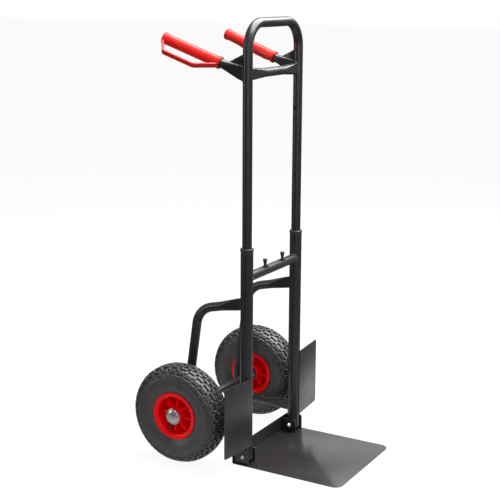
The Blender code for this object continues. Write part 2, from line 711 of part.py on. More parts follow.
def linked_faces(first, seen):
    found, queue = [], [first]
    seen.add(first.index)
    while queue:
        face = queue.pop()
        found.append(face)
        for edge in face.edges:
            for other in edge.link_faces:
                if other.index not in seen:
                    seen.add(other.index)
                    queue.append(other)
    return found


def valve_cap(s):
    stem = stem_line(s)
    top = stem(STEM_TIP_R - GAP)
    axis = (stem(0) - stem(1)).normalized()
    profile = [(0, 0), (3.4 * MM, 0), (3.8 * MM, 0.6 * MM), (3.8 * MM, 8 * MM), (3.0 * MM, 9.4 * MM),
               (0, 9.8 * MM)]
    bm = turned(profile, top, axis, 12, closed=False)
    add_piece(side_name(s, "valve_cap"), bm, PLASTIC, pivot=wheel_point(s)[0])


def bearing(s, which, start):
    """Sealed ball bearing: one ring with a shallow groove in each shield."""
    bore, outer = AXLE_R + 2 * GAP, BEARING_R
    end = start + BEARING_W
    groove = 0.8 * MM
    profile = [(bore, start), (10.6 * MM, start + groove), (14.6 * MM, start + groove), (outer, start),
               (outer, end), (14.6 * MM, end - groove), (10.6 * MM, end - groove), (bore, end)]
    centre, axis = wheel_point(s)
    add_piece(side_name(s, which), turned(profile, centre, axis, SIDES), ZINC, pivot=centre)


# ---------------------------------------------------------------- wheel guards and toe plate
def wheel_guard(s):
    """Flat plate on the upright's front that keeps the load off the wheel."""
    across = Vector((s * math.cos(GUARD_SWEEP), math.sin(GUARD_SWEEP), 0))
    up = Vector((0, 0, 1))
    base = Vector((s * UPRIGHT_X, -(OUTER_R + GAP) / math.cos(GUARD_SWEEP), FENDER_LOW_Z))
    tall = up * (FENDER_TOP_Z - FENDER_LOW_Z)
    wide = across * FENDER_W
    outline = rounded_corner(base + wide, across, up, 7 * MM)
    outline += rounded_corner(base + wide + tall, up, -across, 7 * MM)
    outline += rounded_corner(base + tall, -across, -up, 3 * MM, 3)
    outline += rounded_corner(base, -up, across, 3 * MM, 3)
    front = Vector((s * across.y, -abs(across.x), 0)).normalized()
    add_piece(side_name(s, "wheel_guard"), extruded(outline, front * PLATE_T), POWDER, smooth=False)


def toe_plate():
    """Load sheet with its rear edge and outer ears folded up."""
    x, y, z = Vector((1, 0, 0)), Vector((0, 1, 0)), Vector((0, 0, 1))
    outline = [x * -TOE_HALF + y * TOE_REAR_Y]
    outline += rounded_corner(x * -TOE_HALF + y * TOE_FRONT_Y, -y, x, TOE_CORNER_R, 6)
    outline += rounded_corner(x * TOE_HALF + y * TOE_FRONT_Y, x, y, TOE_CORNER_R, 6)
    outline += [x * TOE_HALF + y * TOE_REAR_Y]
    plate = add_piece("toe_plate", extruded(outline, z * TOE_T), POWDER, smooth=False, pivot=HINGE_AXIS)
    flange = box((-TOE_HALF, TOE_REAR_Y - TOE_T, 0.4 * MM), (TOE_HALF, TOE_REAR_Y, FLANGE_TOP_Z))
    combine(plate, add_cutter("toe_flange_blank", flange), "UNION")
    for s in (-1, 1):
        ear = ear_shape(s * (UPRIGHT_X + OUTER_R + GAP), s * EAR_T, 0.6 * MM, EAR_TOP_Z, 10 * MM,
                        TOE_REAR_Y - 0.4 * MM)
        combine(plate, add_cutter(side_name(s, "toe_ear_blank"), ear), "UNION")
        hole = straight_bar(Vector((s * 140 * MM, HINGE_Y, HINGE_Z)),
                            Vector((s * 155 * MM, HINGE_Y, HINGE_Z)), HINGE_R + GAP, 16)
        combine(plate, add_cutter(side_name(s, "toe_ear_hole_cutter"), hole))


def ear_shape(x, thick, low, high, nose_r, rear):
    front = -17 * MM
    points = [(rear, low), (rear, high)]
    for i in range(6):
        t = math.pi / 2 * i / 5
        points.append((front + nose_r - nose_r * math.sin(t), high - nose_r + nose_r * math.cos(t)))
    points.append((front, low))
    return extruded([Vector((x, py, pz)) for py, pz in points], Vector((thick, 0, 0)))


def inner_ear(s):
    """Lug welded to the toe plate on the inner side of the upright."""
    x = s * (UPRIGHT_X - OUTER_R - GAP)
    bm = ear_shape(x, -s * EAR_T, TOE_T + GAP, 39 * MM, 5 * MM, TOE_REAR_Y - TOE_T - GAP)
    ear = add_piece(side_name(s, "inner_ear"), bm, POWDER, smooth=False, pivot=HINGE_AXIS)
    hole = straight_bar(Vector((s * 105 * MM, HINGE_Y, HINGE_Z)), Vector((s * 120 * MM, HINGE_Y, HINGE_Z)),
                        HINGE_R + GAP, 16)
    combine(ear, add_cutter(side_name(s, "inner_ear_hole_cutter"), hole))


def hinge_bolt(s):
    """Dome-headed bolt through both ears and the upright's foot."""
    out = UPRIGHT_X + OUTER_R + EAR_T + 2 * GAP
    end = UPRIGHT_X - OUTER_R - EAR_T - 10 * MM
    profile = [(0, end), (HINGE_R - 0.6 * MM, end), (HINGE_R, end + 0.6 * MM), (HINGE_R, out), (7 * MM, out),
               (7 * MM, out + 1.2 * MM), (5 * MM, out + 3.6 * MM), (0, out + 4.5 * MM)]
    bm = turned(profile, Vector((0, HINGE_Y, HINGE_Z)), Vector((s, 0, 0)), 12, closed=False)
    add_piece(side_name(s, "hinge_bolt"), bm, ZINC)


def hinge_nut(s):
    """Dome nut on the bolt's inner end."""
    face = UPRIGHT_X - OUTER_R - EAR_T - 2 * GAP
    bore, tip = HINGE_R + GAP, UPRIGHT_X - OUTER_R - EAR_T - 10 * MM - GAP
    profile = [(bore, face), (7.4 * MM, face), (7.4 * MM, face - 5.5 * MM), (6.2 * MM, face - 6.5 * MM),
               (5.2 * MM, face - 9.6 * MM), (2.8 * MM, face - 11.4 * MM), (0, face - 12 * MM), (0, tip),
               (bore, tip)]
    bm = turned(profile, Vector((0, HINGE_Y, HINGE_Z)), Vector((s, 0, 0)), 12)
    add_piece(side_name(s, "hinge_nut"), bm, ZINC)


# ---------------------------------------------------------------- build
def build_side(s):
    outer_tube(s)
    collar(s)
    side_tube(s)
    wheel_guard(s)
    glide(s)
    handle_tube(s)
    handle_gusset(s)
    grip(s)
    latch_pin(s)
    latch_knob(s)
    latch_spring(s)
    inner_ear(s)
    hinge_bolt(s)
    hinge_nut(s)
    axle_washer(s, "inner_washer", AXLE_TUBE_X + GAP, 2.4 * MM, 14 * MM)
    axle_washer(s, "outer_washer", WHEEL_X + HUB_HALF + GAP, 2 * MM, 14 * MM)
    hub_cap(s)
    tyre(s)
    rim(s)
    inner_tube(s)
    valve_cap(s)
    bearing(s, "inner_bearing", -HUB_HALF + GAP)
    bearing(s, "outer_bearing", HUB_HALF - BEARING_W - GAP)


def build():
    upper_u_tube()
    handle_cross_tube()
    latch_tube()
    latch_stop()
    axle()
    toe_plate()
    for s in (-1, 1):
        build_side(s)


clear_scene()
PARTS = make_collection("hand_truck")
CUTTERS = make_collection("cutters")
build()
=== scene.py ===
import math

import bmesh
import bpy
from mathutils import Matrix, Vector


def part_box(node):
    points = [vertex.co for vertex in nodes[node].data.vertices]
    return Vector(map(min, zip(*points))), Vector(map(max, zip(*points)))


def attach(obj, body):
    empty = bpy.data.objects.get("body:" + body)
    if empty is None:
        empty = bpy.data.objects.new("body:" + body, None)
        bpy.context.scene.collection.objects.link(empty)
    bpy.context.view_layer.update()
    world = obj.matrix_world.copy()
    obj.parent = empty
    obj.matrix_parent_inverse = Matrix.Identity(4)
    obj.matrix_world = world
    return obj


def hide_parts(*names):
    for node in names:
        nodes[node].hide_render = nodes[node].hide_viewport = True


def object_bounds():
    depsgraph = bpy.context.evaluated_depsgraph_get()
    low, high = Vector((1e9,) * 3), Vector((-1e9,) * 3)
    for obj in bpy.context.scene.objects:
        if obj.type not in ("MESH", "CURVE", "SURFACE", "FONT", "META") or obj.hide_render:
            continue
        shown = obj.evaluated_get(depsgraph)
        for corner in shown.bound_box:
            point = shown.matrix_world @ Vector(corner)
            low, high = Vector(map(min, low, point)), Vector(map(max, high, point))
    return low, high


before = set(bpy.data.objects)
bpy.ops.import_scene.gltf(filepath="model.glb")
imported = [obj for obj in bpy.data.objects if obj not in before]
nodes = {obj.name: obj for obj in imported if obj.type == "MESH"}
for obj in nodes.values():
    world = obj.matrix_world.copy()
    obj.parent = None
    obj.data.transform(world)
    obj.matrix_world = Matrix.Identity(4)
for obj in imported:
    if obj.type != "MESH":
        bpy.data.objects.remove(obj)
cad_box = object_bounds()
scene = bpy.context.scene
MM = 0.001

# ---------------------------------------------------------------- studio
# A pale floor, one big softbox overhead, and smaller ones round the truck for the fill and the long
# highlights on the tubes. The camera looks at the truck's front left corner from about 3 m away.


def linear(hex_colour):
    """An sRGB hex colour as linear RGBA."""
    parts = [int(hex_colour[i:i + 2], 16) / 255 for i in (1, 3, 5)]
    return [c / 12.92 if c <= 0.04045 else ((c + 0.055) / 1.055) ** 2.4 for c in parts] + [1.0]


def add_node(tree, kind, links=None, **settings):
    """Add a shader node. A link is a socket to join, or a value to set, for a named or numbered input."""
    made = tree.nodes.new(kind)
    for key, value in settings.items():
        setattr(made, key, value)
    for key, value in (links or {}).items():
        if isinstance(value, bpy.types.NodeSocket):
            tree.links.new(value, made.inputs[key])
        else:
            made.inputs[key].default_value = value
    return made


def new_material(name, **sockets):
    """An empty Principled material with some of its sockets set."""
    material = bpy.data.materials.new(name)
    material.use_nodes = True
    shader = material.node_tree.nodes["Principled BSDF"]
    for key, value in sockets.items():
        shader.inputs[key.replace("_", " ").title()].default_value = value
    return material, material.node_tree, shader


# Matt paint with a glow of its own: white to the camera, and a soft pool of light round the truck.
floor_paint, tree, shader = new_material("matt_white_studio_paint", roughness=0.9)
shader.inputs["Base Color"].default_value = linear("#3c3c3c")
shader.inputs["Specular IOR Level"].default_value = 0.1
shader.inputs["Emission Color"].default_value = linear("#ffffff")
place = add_node(tree, "ShaderNodeTexCoord").outputs["Object"]
away = add_node(tree, "ShaderNodeVectorMath", {0: place}, operation="LENGTH").outputs["Value"]
pool = add_node(tree, "ShaderNodeMapRange", {"Value": away, "From Min": 0.45, "From Max": 1.0,
                                             "To Min": 0.75, "To Max": 0.05})
seen = add_node(tree, "ShaderNodeLightPath").outputs["Is Camera Ray"]
glow = add_node(tree, "ShaderNodeMapRange", {"Value": seen, "To Min": pool.outputs[0], "To Max": 0.93})
tree.links.new(glow.outputs[0], shader.inputs["Emission Strength"])
bm = bmesh.new()
bmesh.ops.create_grid(bm, x_segments=1, y_segments=1, size=30.0)
floor_mesh = bpy.data.meshes.new("studio_floor")
bm.to_mesh(floor_mesh)
bm.free()
floor_mesh.materials.append(floor_paint)
studio_floor = bpy.data.objects.new("studio_floor", floor_mesh)
studio_floor.location.z = cad_box[0][2] - 0.5 * MM
scene.collection.objects.link(studio_floor)

world = bpy.data.worlds.new("studio_air")
scene.world = world
world.use_nodes = True
sky = world.node_tree.nodes["Background"]
sky.inputs["Color"].default_value = linear("#ffffff")
backdrop = add_node(world.node_tree, "ShaderNodeLightPath").outputs["Is Camera Ray"]
level = add_node(world.node_tree, "ShaderNodeMapRange", {"Value": backdrop, "To Min": 0.36, "To Max": 1.0})
world.node_tree.links.new(level.outputs[0], sky.inputs["Strength"])


def softbox(name, at, aim, width, height, power):
    """A rectangular area light that points at a spot on the truck."""
    lamp = bpy.data.lights.new(name, "AREA")
    lamp.shape = "RECTANGLE"
    lamp.size = width
    lamp.size_y = height
    lamp.energy = power
    holder = bpy.data.objects.new(name, lamp)
    holder.location = at
    holder.rotation_euler = (Vector(aim) - Vector(at)).to_track_quat("-Z", "Y").to_euler()
    scene.collection.objects.link(holder)


softbox("overhead_softbox", (0.6, -0.6, 2.6), (0, 0, 0.5), 2.6, 2.6, 310)
softbox("left_softbox", (-1.9, -2.9, 1.1), (0, 0, 0.6), 0.4, 2.2, 11)
softbox("back_softbox", (-2.0, 2.2, 1.2), (0, 0.1, 0.6), 0.4, 2.4, 18)
softbox("front_softbox", (-3.8, -2.1, 1.3), (0, 0, 0.6), 2.6, 2.2, 27)
softbox("high_softbox", (2.7, -0.25, 2.5), (0, 0, 0.9), 2.2, 1.6, 23)
softbox("right_softbox", (3.0, 1.2, 0.9), (0.1, -0.1, 0.1), 2.4, 1.5, 8.5)

lens = bpy.data.cameras.new("studio_camera")
lens.lens = 83.08
lens.sensor_width = 36.0
camera = bpy.data.objects.new("studio_camera", lens)
camera_at = Vector((-2.54524, -1.39459, 1.20627))
camera_aim = Vector((0.1142, 0.1316, 0.5008))
turn = (camera_aim - camera_at).to_track_quat("-Z", "Y").to_matrix().to_4x4()
camera.matrix_world = Matrix.Translation(camera_at) @ turn @ Matrix.Rotation(math.radians(0.2835), 4, "Z")
scene.collection.objects.link(camera)
scene.camera = camera
scene.view_settings.view_transform = "Standard"

# ---------------------------------------------------------------- lower uprights
# Two lengths of round steel tube, 32 mm across with a 1.5 mm wall. Each foot is ground round
# about the toe plate's hinge bolt. All the steel is sprayed with satin charcoal powder and baked.

# Powder coat: polyester powder melted on steel. It flows almost level, and leaves a fine orange
# peel about 2 mm across that breaks up the edges of highlights, and slightly uneven gloss.
powder_coat, tree, shader = new_material("satin_powder_coat")
place = add_node(tree, "ShaderNodeTexCoord").outputs["Object"]
cloud = add_node(tree, "ShaderNodeTexNoise", {"Vector": place, "Scale": 1 / (90 * MM), "Detail": 3.0})
tint = add_node(tree, "ShaderNodeMix", {"Factor": cloud.outputs["Fac"]}, data_type="RGBA")
tint.inputs[6].default_value = linear("#1a191a")
tint.inputs[7].default_value = linear("#222122")
tree.links.new(tint.outputs[2], shader.inputs["Base Color"])
gloss = add_node(tree, "ShaderNodeMapRange", {"Value": cloud.outputs["Fac"], "From Min": 0.3, "From Max": 0.7,
                                              "To Min": 0.25, "To Max": 0.33})
tree.links.new(gloss.outputs[0], shader.inputs["Roughness"])
peel = add_node(tree, "ShaderNodeTexNoise", {"Vector": place, "Scale": 1 / (2.2 * MM), "Detail": 1.0})
skin = add_node(tree, "ShaderNodeBump", {"Height": peel.outputs["Fac"], "Strength": 0.22,
                                         "Distance": 0.15 * MM})
tree.links.new(skin.outputs[0], shader.inputs["Normal"])
shader.inputs["Specular IOR Level"].default_value = 0.4


def make_piece(name, bm, material, body, stands_for=(), crease=32):
    """Turn a finished bmesh into a piece that rides on a body and may stand for CAD nodes."""
    bmesh.ops.remove_doubles(bm, verts=bm.verts, dist=0.002 * MM)
    bmesh.ops.recalc_face_normals(bm, faces=bm.faces)
    mesh = bpy.data.meshes.new(name)
    bm.to_mesh(mesh)
    bm.free()
    mesh.shade_smooth()
    mesh.set_sharp_from_angle(angle=math.radians(crease))
    mesh.materials.append(material)
    piece = bpy.data.objects.new(name, mesh)
    scene.collection.objects.link(piece)
    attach(piece, body)
    if stands_for:
        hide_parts(*stands_for)
    return piece


def turn_profile(points, centre, axis, steps=64, bm=None):
    """Spin (radius, distance along the axis) points, in mm, into a closed round body."""
    bm = bm or bmesh.new()
    side = axis.orthogonal().normalized()
    verts = [bm.verts.new(centre + side * (r * MM) + axis * (d * MM)) for r, d in points]
    pairs = list(zip(range(len(verts)), list(range(1, len(verts))) + [0]))
    edges = [bm.edges.new((verts[a], verts[b])) for a, b in pairs if points[a][0] + points[b][0] > 0]
    bmesh.ops.spin(bm, geom=verts + edges, cent=centre, axis=axis, dvec=(0, 0, 0), angle=2 * math.pi,
                   steps=steps, use_merge=True, use_duplicate=False)
    bmesh.ops.remove_doubles(bm, verts=bm.verts, dist=0.002 * MM)
    return bm


def soften(bm, width, segments=2, angle=35):
    """Round every edge that is sharper than the angle, width in mm."""
    bmesh.ops.recalc_face_normals(bm, faces=bm.faces)
    sharp = [e for e in bm.edges if len(e.link_faces) == 2 and e.calc_face_angle() > math.radians(angle)]
    bmesh.ops.bevel(bm, geom=sharp, offset=width * MM, offset_type="OFFSET", segments=segments, profile=0.5,
                    affect="EDGES", clamp_overlap=True, material=-1)


def middle(node):
    low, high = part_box(node)
    return (low + high) / 2


SIDES = ((-1, "left"), (1, "right"))
UP = Vector((0, 0, 1))
ACROSS = Vector((1, 0, 0))
BACK = Vector((0, 1, 0))
upright_x = middle("right_outer_tube").x
lower_r = 16.0
tube_wall = 1.5
lower_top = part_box("right_outer_tube")[1].z
hinge_at = middle("right_hinge_bolt")
foot_round = 18.4 * MM
for s, side in SIDES:
    heights = [2, 6, 10, 14, 18, 22, 60, lower_top / MM]
    wall = [(lower_r, z) for z in heights] + [(lower_r - tube_wall, z) for z in reversed(heights)]
    bm = turn_profile(wall, Vector((s * upright_x, 0, 0)), UP, 48)
    for vert in bm.verts:
        reach = vert.co.y - hinge_at.y
        lowest = hinge_at.z - math.sqrt(max(foot_round ** 2 - reach ** 2, 0))
        vert.co.z = max(vert.co.z, lowest)
    make_piece(f"{side}_lower_upright", bm, powder_coat, "frame", [f"{side}_outer_tube"])

# ---------------------------------------------------------------- side tubes
# Round tube, 24 mm across, bent twice. It leaves the back of the upright, turns down behind the
# axle and comes forward again to the foot. Both ends are pressed flat before they are welded on.


def pull(bm, ring, along, step=6 * MM):
    """Extrude a ring of edges along a vector in short steps, and give back the last ring."""
    count = max(1, round(along.length / step))
    for _ in range(count):
        grown = bmesh.ops.extrude_edge_only(bm, edges=ring)["geom"]
        verts = {g for g in grown if isinstance(g, bmesh.types.BMVert)}
        ring = [g for g in grown if isinstance(g, bmesh.types.BMEdge) and verts.issuperset(g.verts)]
        bmesh.ops.translate(bm, vec=along / count, verts=list(verts))
    return ring


def sweep(bm, ring, corners, bends):
    """Draw a ring of edges through corners, in metres; each inner corner is bent to its own radius."""
    here = corners[0]
    for i, corner in enumerate(corners[1:]):
        heading = (corner - here).normalized()
        if i == len(bends):
            pull(bm, ring, corner - here)
            break
        leaving = (corners[i + 2] - corner).normalized()
        angle = heading.angle(leaving)
        setback = bends[i] * math.tan(angle / 2)
        ring = pull(bm, ring, corner - heading * setback - here)
        here = corner - heading * setback
        axis = heading.cross(leaving).normalized()
        hub = here + axis.cross(heading) * bends[i]
        swung = bmesh.ops.spin(bm, geom=ring, cent=hub, axis=axis, angle=angle, dvec=(0, 0, 0), steps=16,
                               use_duplicate=False)["geom_last"]
        ring = [g for g in swung if isinstance(g, bmesh.types.BMEdge)]
        here = corner + leaving * setback
    bmesh.ops.holes_fill(bm, edges=[e for e in bm.edges if e.is_boundary])
    return bm


def draw_tube(corners, bends, radius, sides=36):
    """A capped round tube through corners."""
    bm = bmesh.new()
    heading = corners[1] - corners[0]
    turned = Matrix.Translation(corners[0]) @ heading.to_track_quat("Z", "Y").to_matrix().to_4x4()
    bmesh.ops.create_circle(bm, segments=sides, radius=radius, matrix=turned)
    return sweep(bm, list(bm.edges), corners, bends)


def press_end(bm, end, inward, across, length, flat, thin, spread):
    """Press a tube's end between flat dies: it thins to thin either side, and spreads the other way."""
    for vert in bm.verts:
        offset = vert.co - end
        along = offset.dot(inward)
        if along > length or offset.cross(inward).length > 40 * MM:
            continue
        t = 1 - min(max((along - flat) / (length - flat), 0), 1)
        side = offset.dot(across)
        rise = offset - inward * along - across * side
        radius = math.hypot(side, rise.length)
        limit = radius + (thin - radius) * t
        side = min(max(side, -limit), limit)
        vert.co = end + inward * along + across * side + rise * (1 + (spread - 1) * t)


side_r = 12.0 * MM
side_top = 423.4 * MM
side_foot = 74 * MM
weld_face = 13.5 * MM
for s, side in SIDES:
    x = s * upright_x
    corners = [Vector((x, 14 * MM, side_top)), Vector((x, 142.5 * MM, 393.8 * MM)),
               Vector((x, 188.7 * MM, side_foot)), Vector((x, 14 * MM, side_foot))]
    bm = draw_tube(corners, [58 * MM, 62 * MM], side_r)
    leaving = (corners[1] - corners[0]).normalized()
    press_end(bm, corners[0], leaving, ACROSS, 62 * MM, 12 * MM, 6 * MM, 1.3)
    press_end(bm, corners[3], BACK, ACROSS, 66 * MM, 14 * MM, 6 * MM, 1.34)
    for vert in bm.verts:
        # Both ends stop inside the upright's wall, clear of the upper frame that slides in it.
        vert.co.y = max(vert.co.y, weld_face)
    make_piece(f"{side}_bent_side_tube", bm, powder_coat, "frame", [f"{side}_side_tube"], crease=24)

# ---------------------------------------------------------------- collars
# Black nylon bushes pushed into the tops of the lower uprights. They guide the upper frame, and
# have a moulded lip with a soft edge and a slight taper below it.

# Moulded nylon: matt, with a fine spark-eroded grain that scatters the highlight.
black_nylon, tree, shader = new_material("moulded_black_nylon")
place = add_node(tree, "ShaderNodeTexCoord").outputs["Object"]
grain = add_node(tree, "ShaderNodeTexNoise", {"Vector": place, "Scale": 1 / (0.9 * MM), "Detail": 2.0})
shade = add_node(tree, "ShaderNodeValToRGB", {"Fac": grain.outputs["Fac"]})
shade.color_ramp.elements[0].color = linear("#191919")
shade.color_ramp.elements[1].color = linear("#242425")
tree.links.new(shade.outputs[0], shader.inputs["Base Color"])
shine = add_node(tree, "ShaderNodeMapRange", {"Value": grain.outputs["Fac"], "To Min": 0.42, "To Max": 0.6})
tree.links.new(shine.outputs[0], shader.inputs["Roughness"])
rough = add_node(tree, "ShaderNodeBump", {"Height": grain.outputs["Fac"], "Strength": 0.15,
                                          "Distance": 0.1 * MM})
tree.links.new(rough.outputs[0], shader.inputs["Normal"])

fit = 0.3
upper_r = 12.2
collar_r = 17.1
collar_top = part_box("right_collar")[1].z / MM
collar_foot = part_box("right_collar")[0].z / MM
for s, side in SIDES:
    seat = lower_top / MM + fit
    shape = [(upper_r + fit, collar_foot), (lower_r - tube_wall - fit, collar_foot),
             (lower_r - tube_wall - fit, seat), (collar_r - 1.2, seat), (collar_r - 0.9, seat + 6),
             (collar_r - 0.2, seat + 8), (collar_r, seat + 9), (collar_r, collar_top - 1.2),
             (collar_r - 1.2, collar_top), (upper_r + fit, collar_top)]
    bm = turn_profile(shape, Vector((s * upright_x, 0, 0)), UP, 56)
    soften(bm, 0.35)
    make_piece(f"{side}_guide_bush", bm, black_nylon, "frame", [f"{side}_collar"])

# ---------------------------------------------------------------- axle, washers and hub caps
# A steel bar runs through a powder-coated sleeve and both wheels. Zinc-plated washers keep the
# wheels apart from the sleeve, and a pressed dome cap closes each end.

# Bright zinc plate: thin metal coat with a silvery, slightly milky shine and fine wiping marks.
zinc_plate, tree, shader = new_material("bright_zinc_plate", metallic=1.0)
place = add_node(tree, "ShaderNodeTexCoord").outputs["Object"]
spangle = add_node(tree, "ShaderNodeTexNoise", {"Vector": place, "Scale": 1 / (6 * MM), "Detail": 5.0})
tone = add_node(tree, "ShaderNodeValToRGB", {"Fac": spangle.outputs["Fac"]})
tone.color_ramp.elements[0].position = 0.3
tone.color_ramp.elements[0].color = linear("#8c8a88")
tone.color_ramp.elements[1].position = 0.75
tone.color_ramp.elements[1].color = linear("#b9b7b4")
tree.links.new(tone.outputs[0], shader.inputs["Base Color"])
haze = add_node(tree, "ShaderNodeMapRange", {"Value": spangle.outputs["Fac"], "To Min": 0.16, "To Max": 0.4})
tree.links.new(haze.outputs[0], shader.inputs["Roughness"])
marks = add_node(tree, "ShaderNodeTexNoise", {"Vector": place, "Scale": 1 / (1.6 * MM), "Detail": 2.0})
dents = add_node(tree, "ShaderNodeBump", {"Height": marks.outputs["Fac"], "Strength": 0.25,
                                          "Distance": 0.12 * MM})
tree.links.new(dents.outputs[0], shader.inputs["Normal"])

axle_at = middle("axle_rod")
axle_mid = Vector((0, axle_at.y, axle_at.z))
sleeve_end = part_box("axle_tube")[1].x / MM
rod_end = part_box("axle_rod")[1].x / MM
sleeve_r = 9.8
rod_r = 7.5
bore_r = rod_r + fit
shape = [(sleeve_r, -sleeve_end), (sleeve_r, sleeve_end), (bore_r, sleeve_end), (bore_r, -sleeve_end)]
bm = turn_profile(shape, axle_mid, ACROSS, 40)
soften(bm, 0.4)
make_piece("axle_sleeve", bm, powder_coat, "frame", ["axle_tube"])
shape = [(0, -rod_end), (rod_r - 1, -rod_end), (rod_r, 1 - rod_end),
         (rod_r, rod_end - 1), (rod_r - 1, rod_end), (0, rod_end)]
bm = turn_profile(shape, axle_mid, ACROSS, 40)
make_piece("axle_bar", bm, zinc_plate, "frame", ["axle_rod"])
for s, side in SIDES:
    outward = ACROSS * s
    for place_name in ("inner", "outer"):
        low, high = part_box(f"{side}_{place_name}_washer")
        near, far = sorted((abs(low.x) / MM, abs(high.x) / MM))
        bm = turn_profile([(bore_r, near), (14, near), (14, far), (bore_r, far)], axle_mid, outward, 40)
        soften(bm, 0.3)
        washer = f"{side}_{place_name}_washer"
        make_piece(f"{side}_{place_name}_plain_washer", bm, zinc_plate, "frame", [washer])
    low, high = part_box(f"{side}_hub_cap")
    base, tip = sorted((abs(low.x) / MM, abs(high.x) / MM))
    dome = [(tip - base - 2.6) * math.cos(math.radians(a)) for a in range(0, 91, 10)]
    shape = [(19.2 * math.sin(math.radians(a)), base + 2.6 + rise) for a, rise in zip(range(0, 91, 10), dome)]
    shape = shape + [(20.2, base + 2.5), (20.9, base + 2.0), (20.9, base + 0.4), (20.5, base), (bore_r, base),
                     (bore_r, rod_end + fit), (0, rod_end + fit)]
    bm = turn_profile(shape, axle_mid, outward, 64)
    make_piece(f"{side}_dome_cap", bm, zinc_plate, "frame", [f"{side}_hub_cap"])

# ---------------------------------------------------------------- latch
# A cross tube between the lower uprights hides two sprung lock pins. Its ends are shaped to the
# uprights and welded. Two black knobs stand up through slots, and squeezing them frees the handle.
latch_z = middle("latch_tube").z
latch_r = 12.5 * MM


def cope(bm, centre_x, radius):
    """Shape the ends of a tube that lies along X to the round of the uprights."""
    for vert in bm.verts:
        reach = math.sqrt(max(radius ** 2 - vert.co.y ** 2, 0))
        if abs(vert.co.x) > centre_x - reach:
            vert.co.x = math.copysign(centre_x - reach, vert.co.x)


bm = draw_tube([Vector((-0.121, 0, latch_z)), Vector((0.121, 0, latch_z))], [], latch_r, 40)
cope(bm, upright_x, (lower_r - 0.4) * MM)
latch_case = make_piece("latch_case", bm, powder_coat, "frame", ["latch_tube"])


def cut_away(piece, cutter_bm):
    """Cut a shape out of a piece for good."""
    mesh = bpy.data.meshes.new("cutter")
    bmesh.ops.recalc_face_normals(cutter_bm, faces=cutter_bm.faces)
    cutter_bm.to_mesh(mesh)
    cutter_bm.free()
    cutter = bpy.data.objects.new("cutter", mesh)
    scene.collection.objects.link(cutter)
    cut = piece.modifiers.new("cut", "BOOLEAN")
    cut.operation = "DIFFERENCE"
    cut.solver = "EXACT"
    cut.object = cutter
    bpy.context.view_layer.update()
    seen = piece.evaluated_get(bpy.context.evaluated_depsgraph_get())
    piece.data = bpy.data.meshes.new_from_object(seen)
    piece.modifiers.clear()
    bpy.data.objects.remove(cutter)
    piece.data.set_sharp_from_angle(angle=math.radians(32))


knob_at = middle("right_latch_knob")
slot_size = (22 * MM, 8.8 * MM, 12 * MM)
for s, side in SIDES:
    knob = f"{side}_latch_knob"
    slot = bmesh.new()
    bmesh.ops.create_cube(slot, size=1.0)
    bmesh.ops.scale(slot, vec=slot_size, verts=slot.verts)
    slot_at = Vector((s * (knob_at.x - 2.5 * MM), knob_at.y, latch_z + 13 * MM))
    bmesh.ops.translate(slot, vec=slot_at, verts=slot.verts)
    cut_away(latch_case, slot)
    foot, top = (corner.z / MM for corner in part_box(knob))
    shape = [(0, foot), (3.6, foot), (3.6, 509), (3.9, 513), (4.6, 517), (5.4, 520.5), (5.7, 522.5),
             (5.7, top - 1.2), (5.2, top - 0.4), (4.2, top), (0, top)]
    bm = turn_profile(shape, Vector((s * knob_at.x, knob_at.y, 0)), UP, 40)
    make_piece(f"{side}_squeeze_knob", bm, black_nylon, f"{side}_latch", [knob])

# ---------------------------------------------------------------- wheel guards
# Flat pieces of 1.5 mm sheet, welded to the fronts of the uprights to keep a load off the wheels.
# The outer corners are cut round, and the edges are just broken before coating.


def sheet(outline, radii, thickness, edge=0.4):
    """A flat plate with rounded corners, pushed out along a vector; radii and edge are in mm."""
    bm = bmesh.new()
    verts = [bm.verts.new(p) for p in outline]
    bm.faces.new(verts)
    for vert, radius in zip(verts, radii):
        if radius > 0:
            bmesh.ops.bevel(bm, geom=[vert], offset=radius * MM, offset_type="OFFSET", segments=8,
                            profile=0.5, affect="VERTICES", clamp_overlap=True, material=-1)
    grown = bmesh.ops.extrude_face_region(bm, geom=list(bm.faces), use_keep_orig=True)["geom"]
    bmesh.ops.translate(bm, vec=thickness, verts=[g for g in grown if isinstance(g, bmesh.types.BMVert)])
    soften(bm, edge, 2, 60)
    return bm


guard_sweep = math.radians(5)
guard_reach = 120.3 * MM
guard_t = 1.5 * MM
for s, side in SIDES:
    low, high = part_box(f"{side}_wheel_guard")
    across = Vector((s * math.cos(guard_sweep), math.sin(guard_sweep), 0))
    front = Vector((s * math.sin(guard_sweep), -math.cos(guard_sweep), 0))
    start = Vector((s * upright_x, -(lower_r + fit) * MM / math.cos(guard_sweep), low.z))
    tall = UP * (high.z - low.z)
    tip = start + across * guard_reach
    outline = [start, tip, tip + tall, start + tall]
    bm = sheet(outline, [3, 7, 7, 3], front * guard_t)
    make_piece(f"{side}_sheet_guard", bm, powder_coat, "frame", [f"{side}_wheel_guard"])

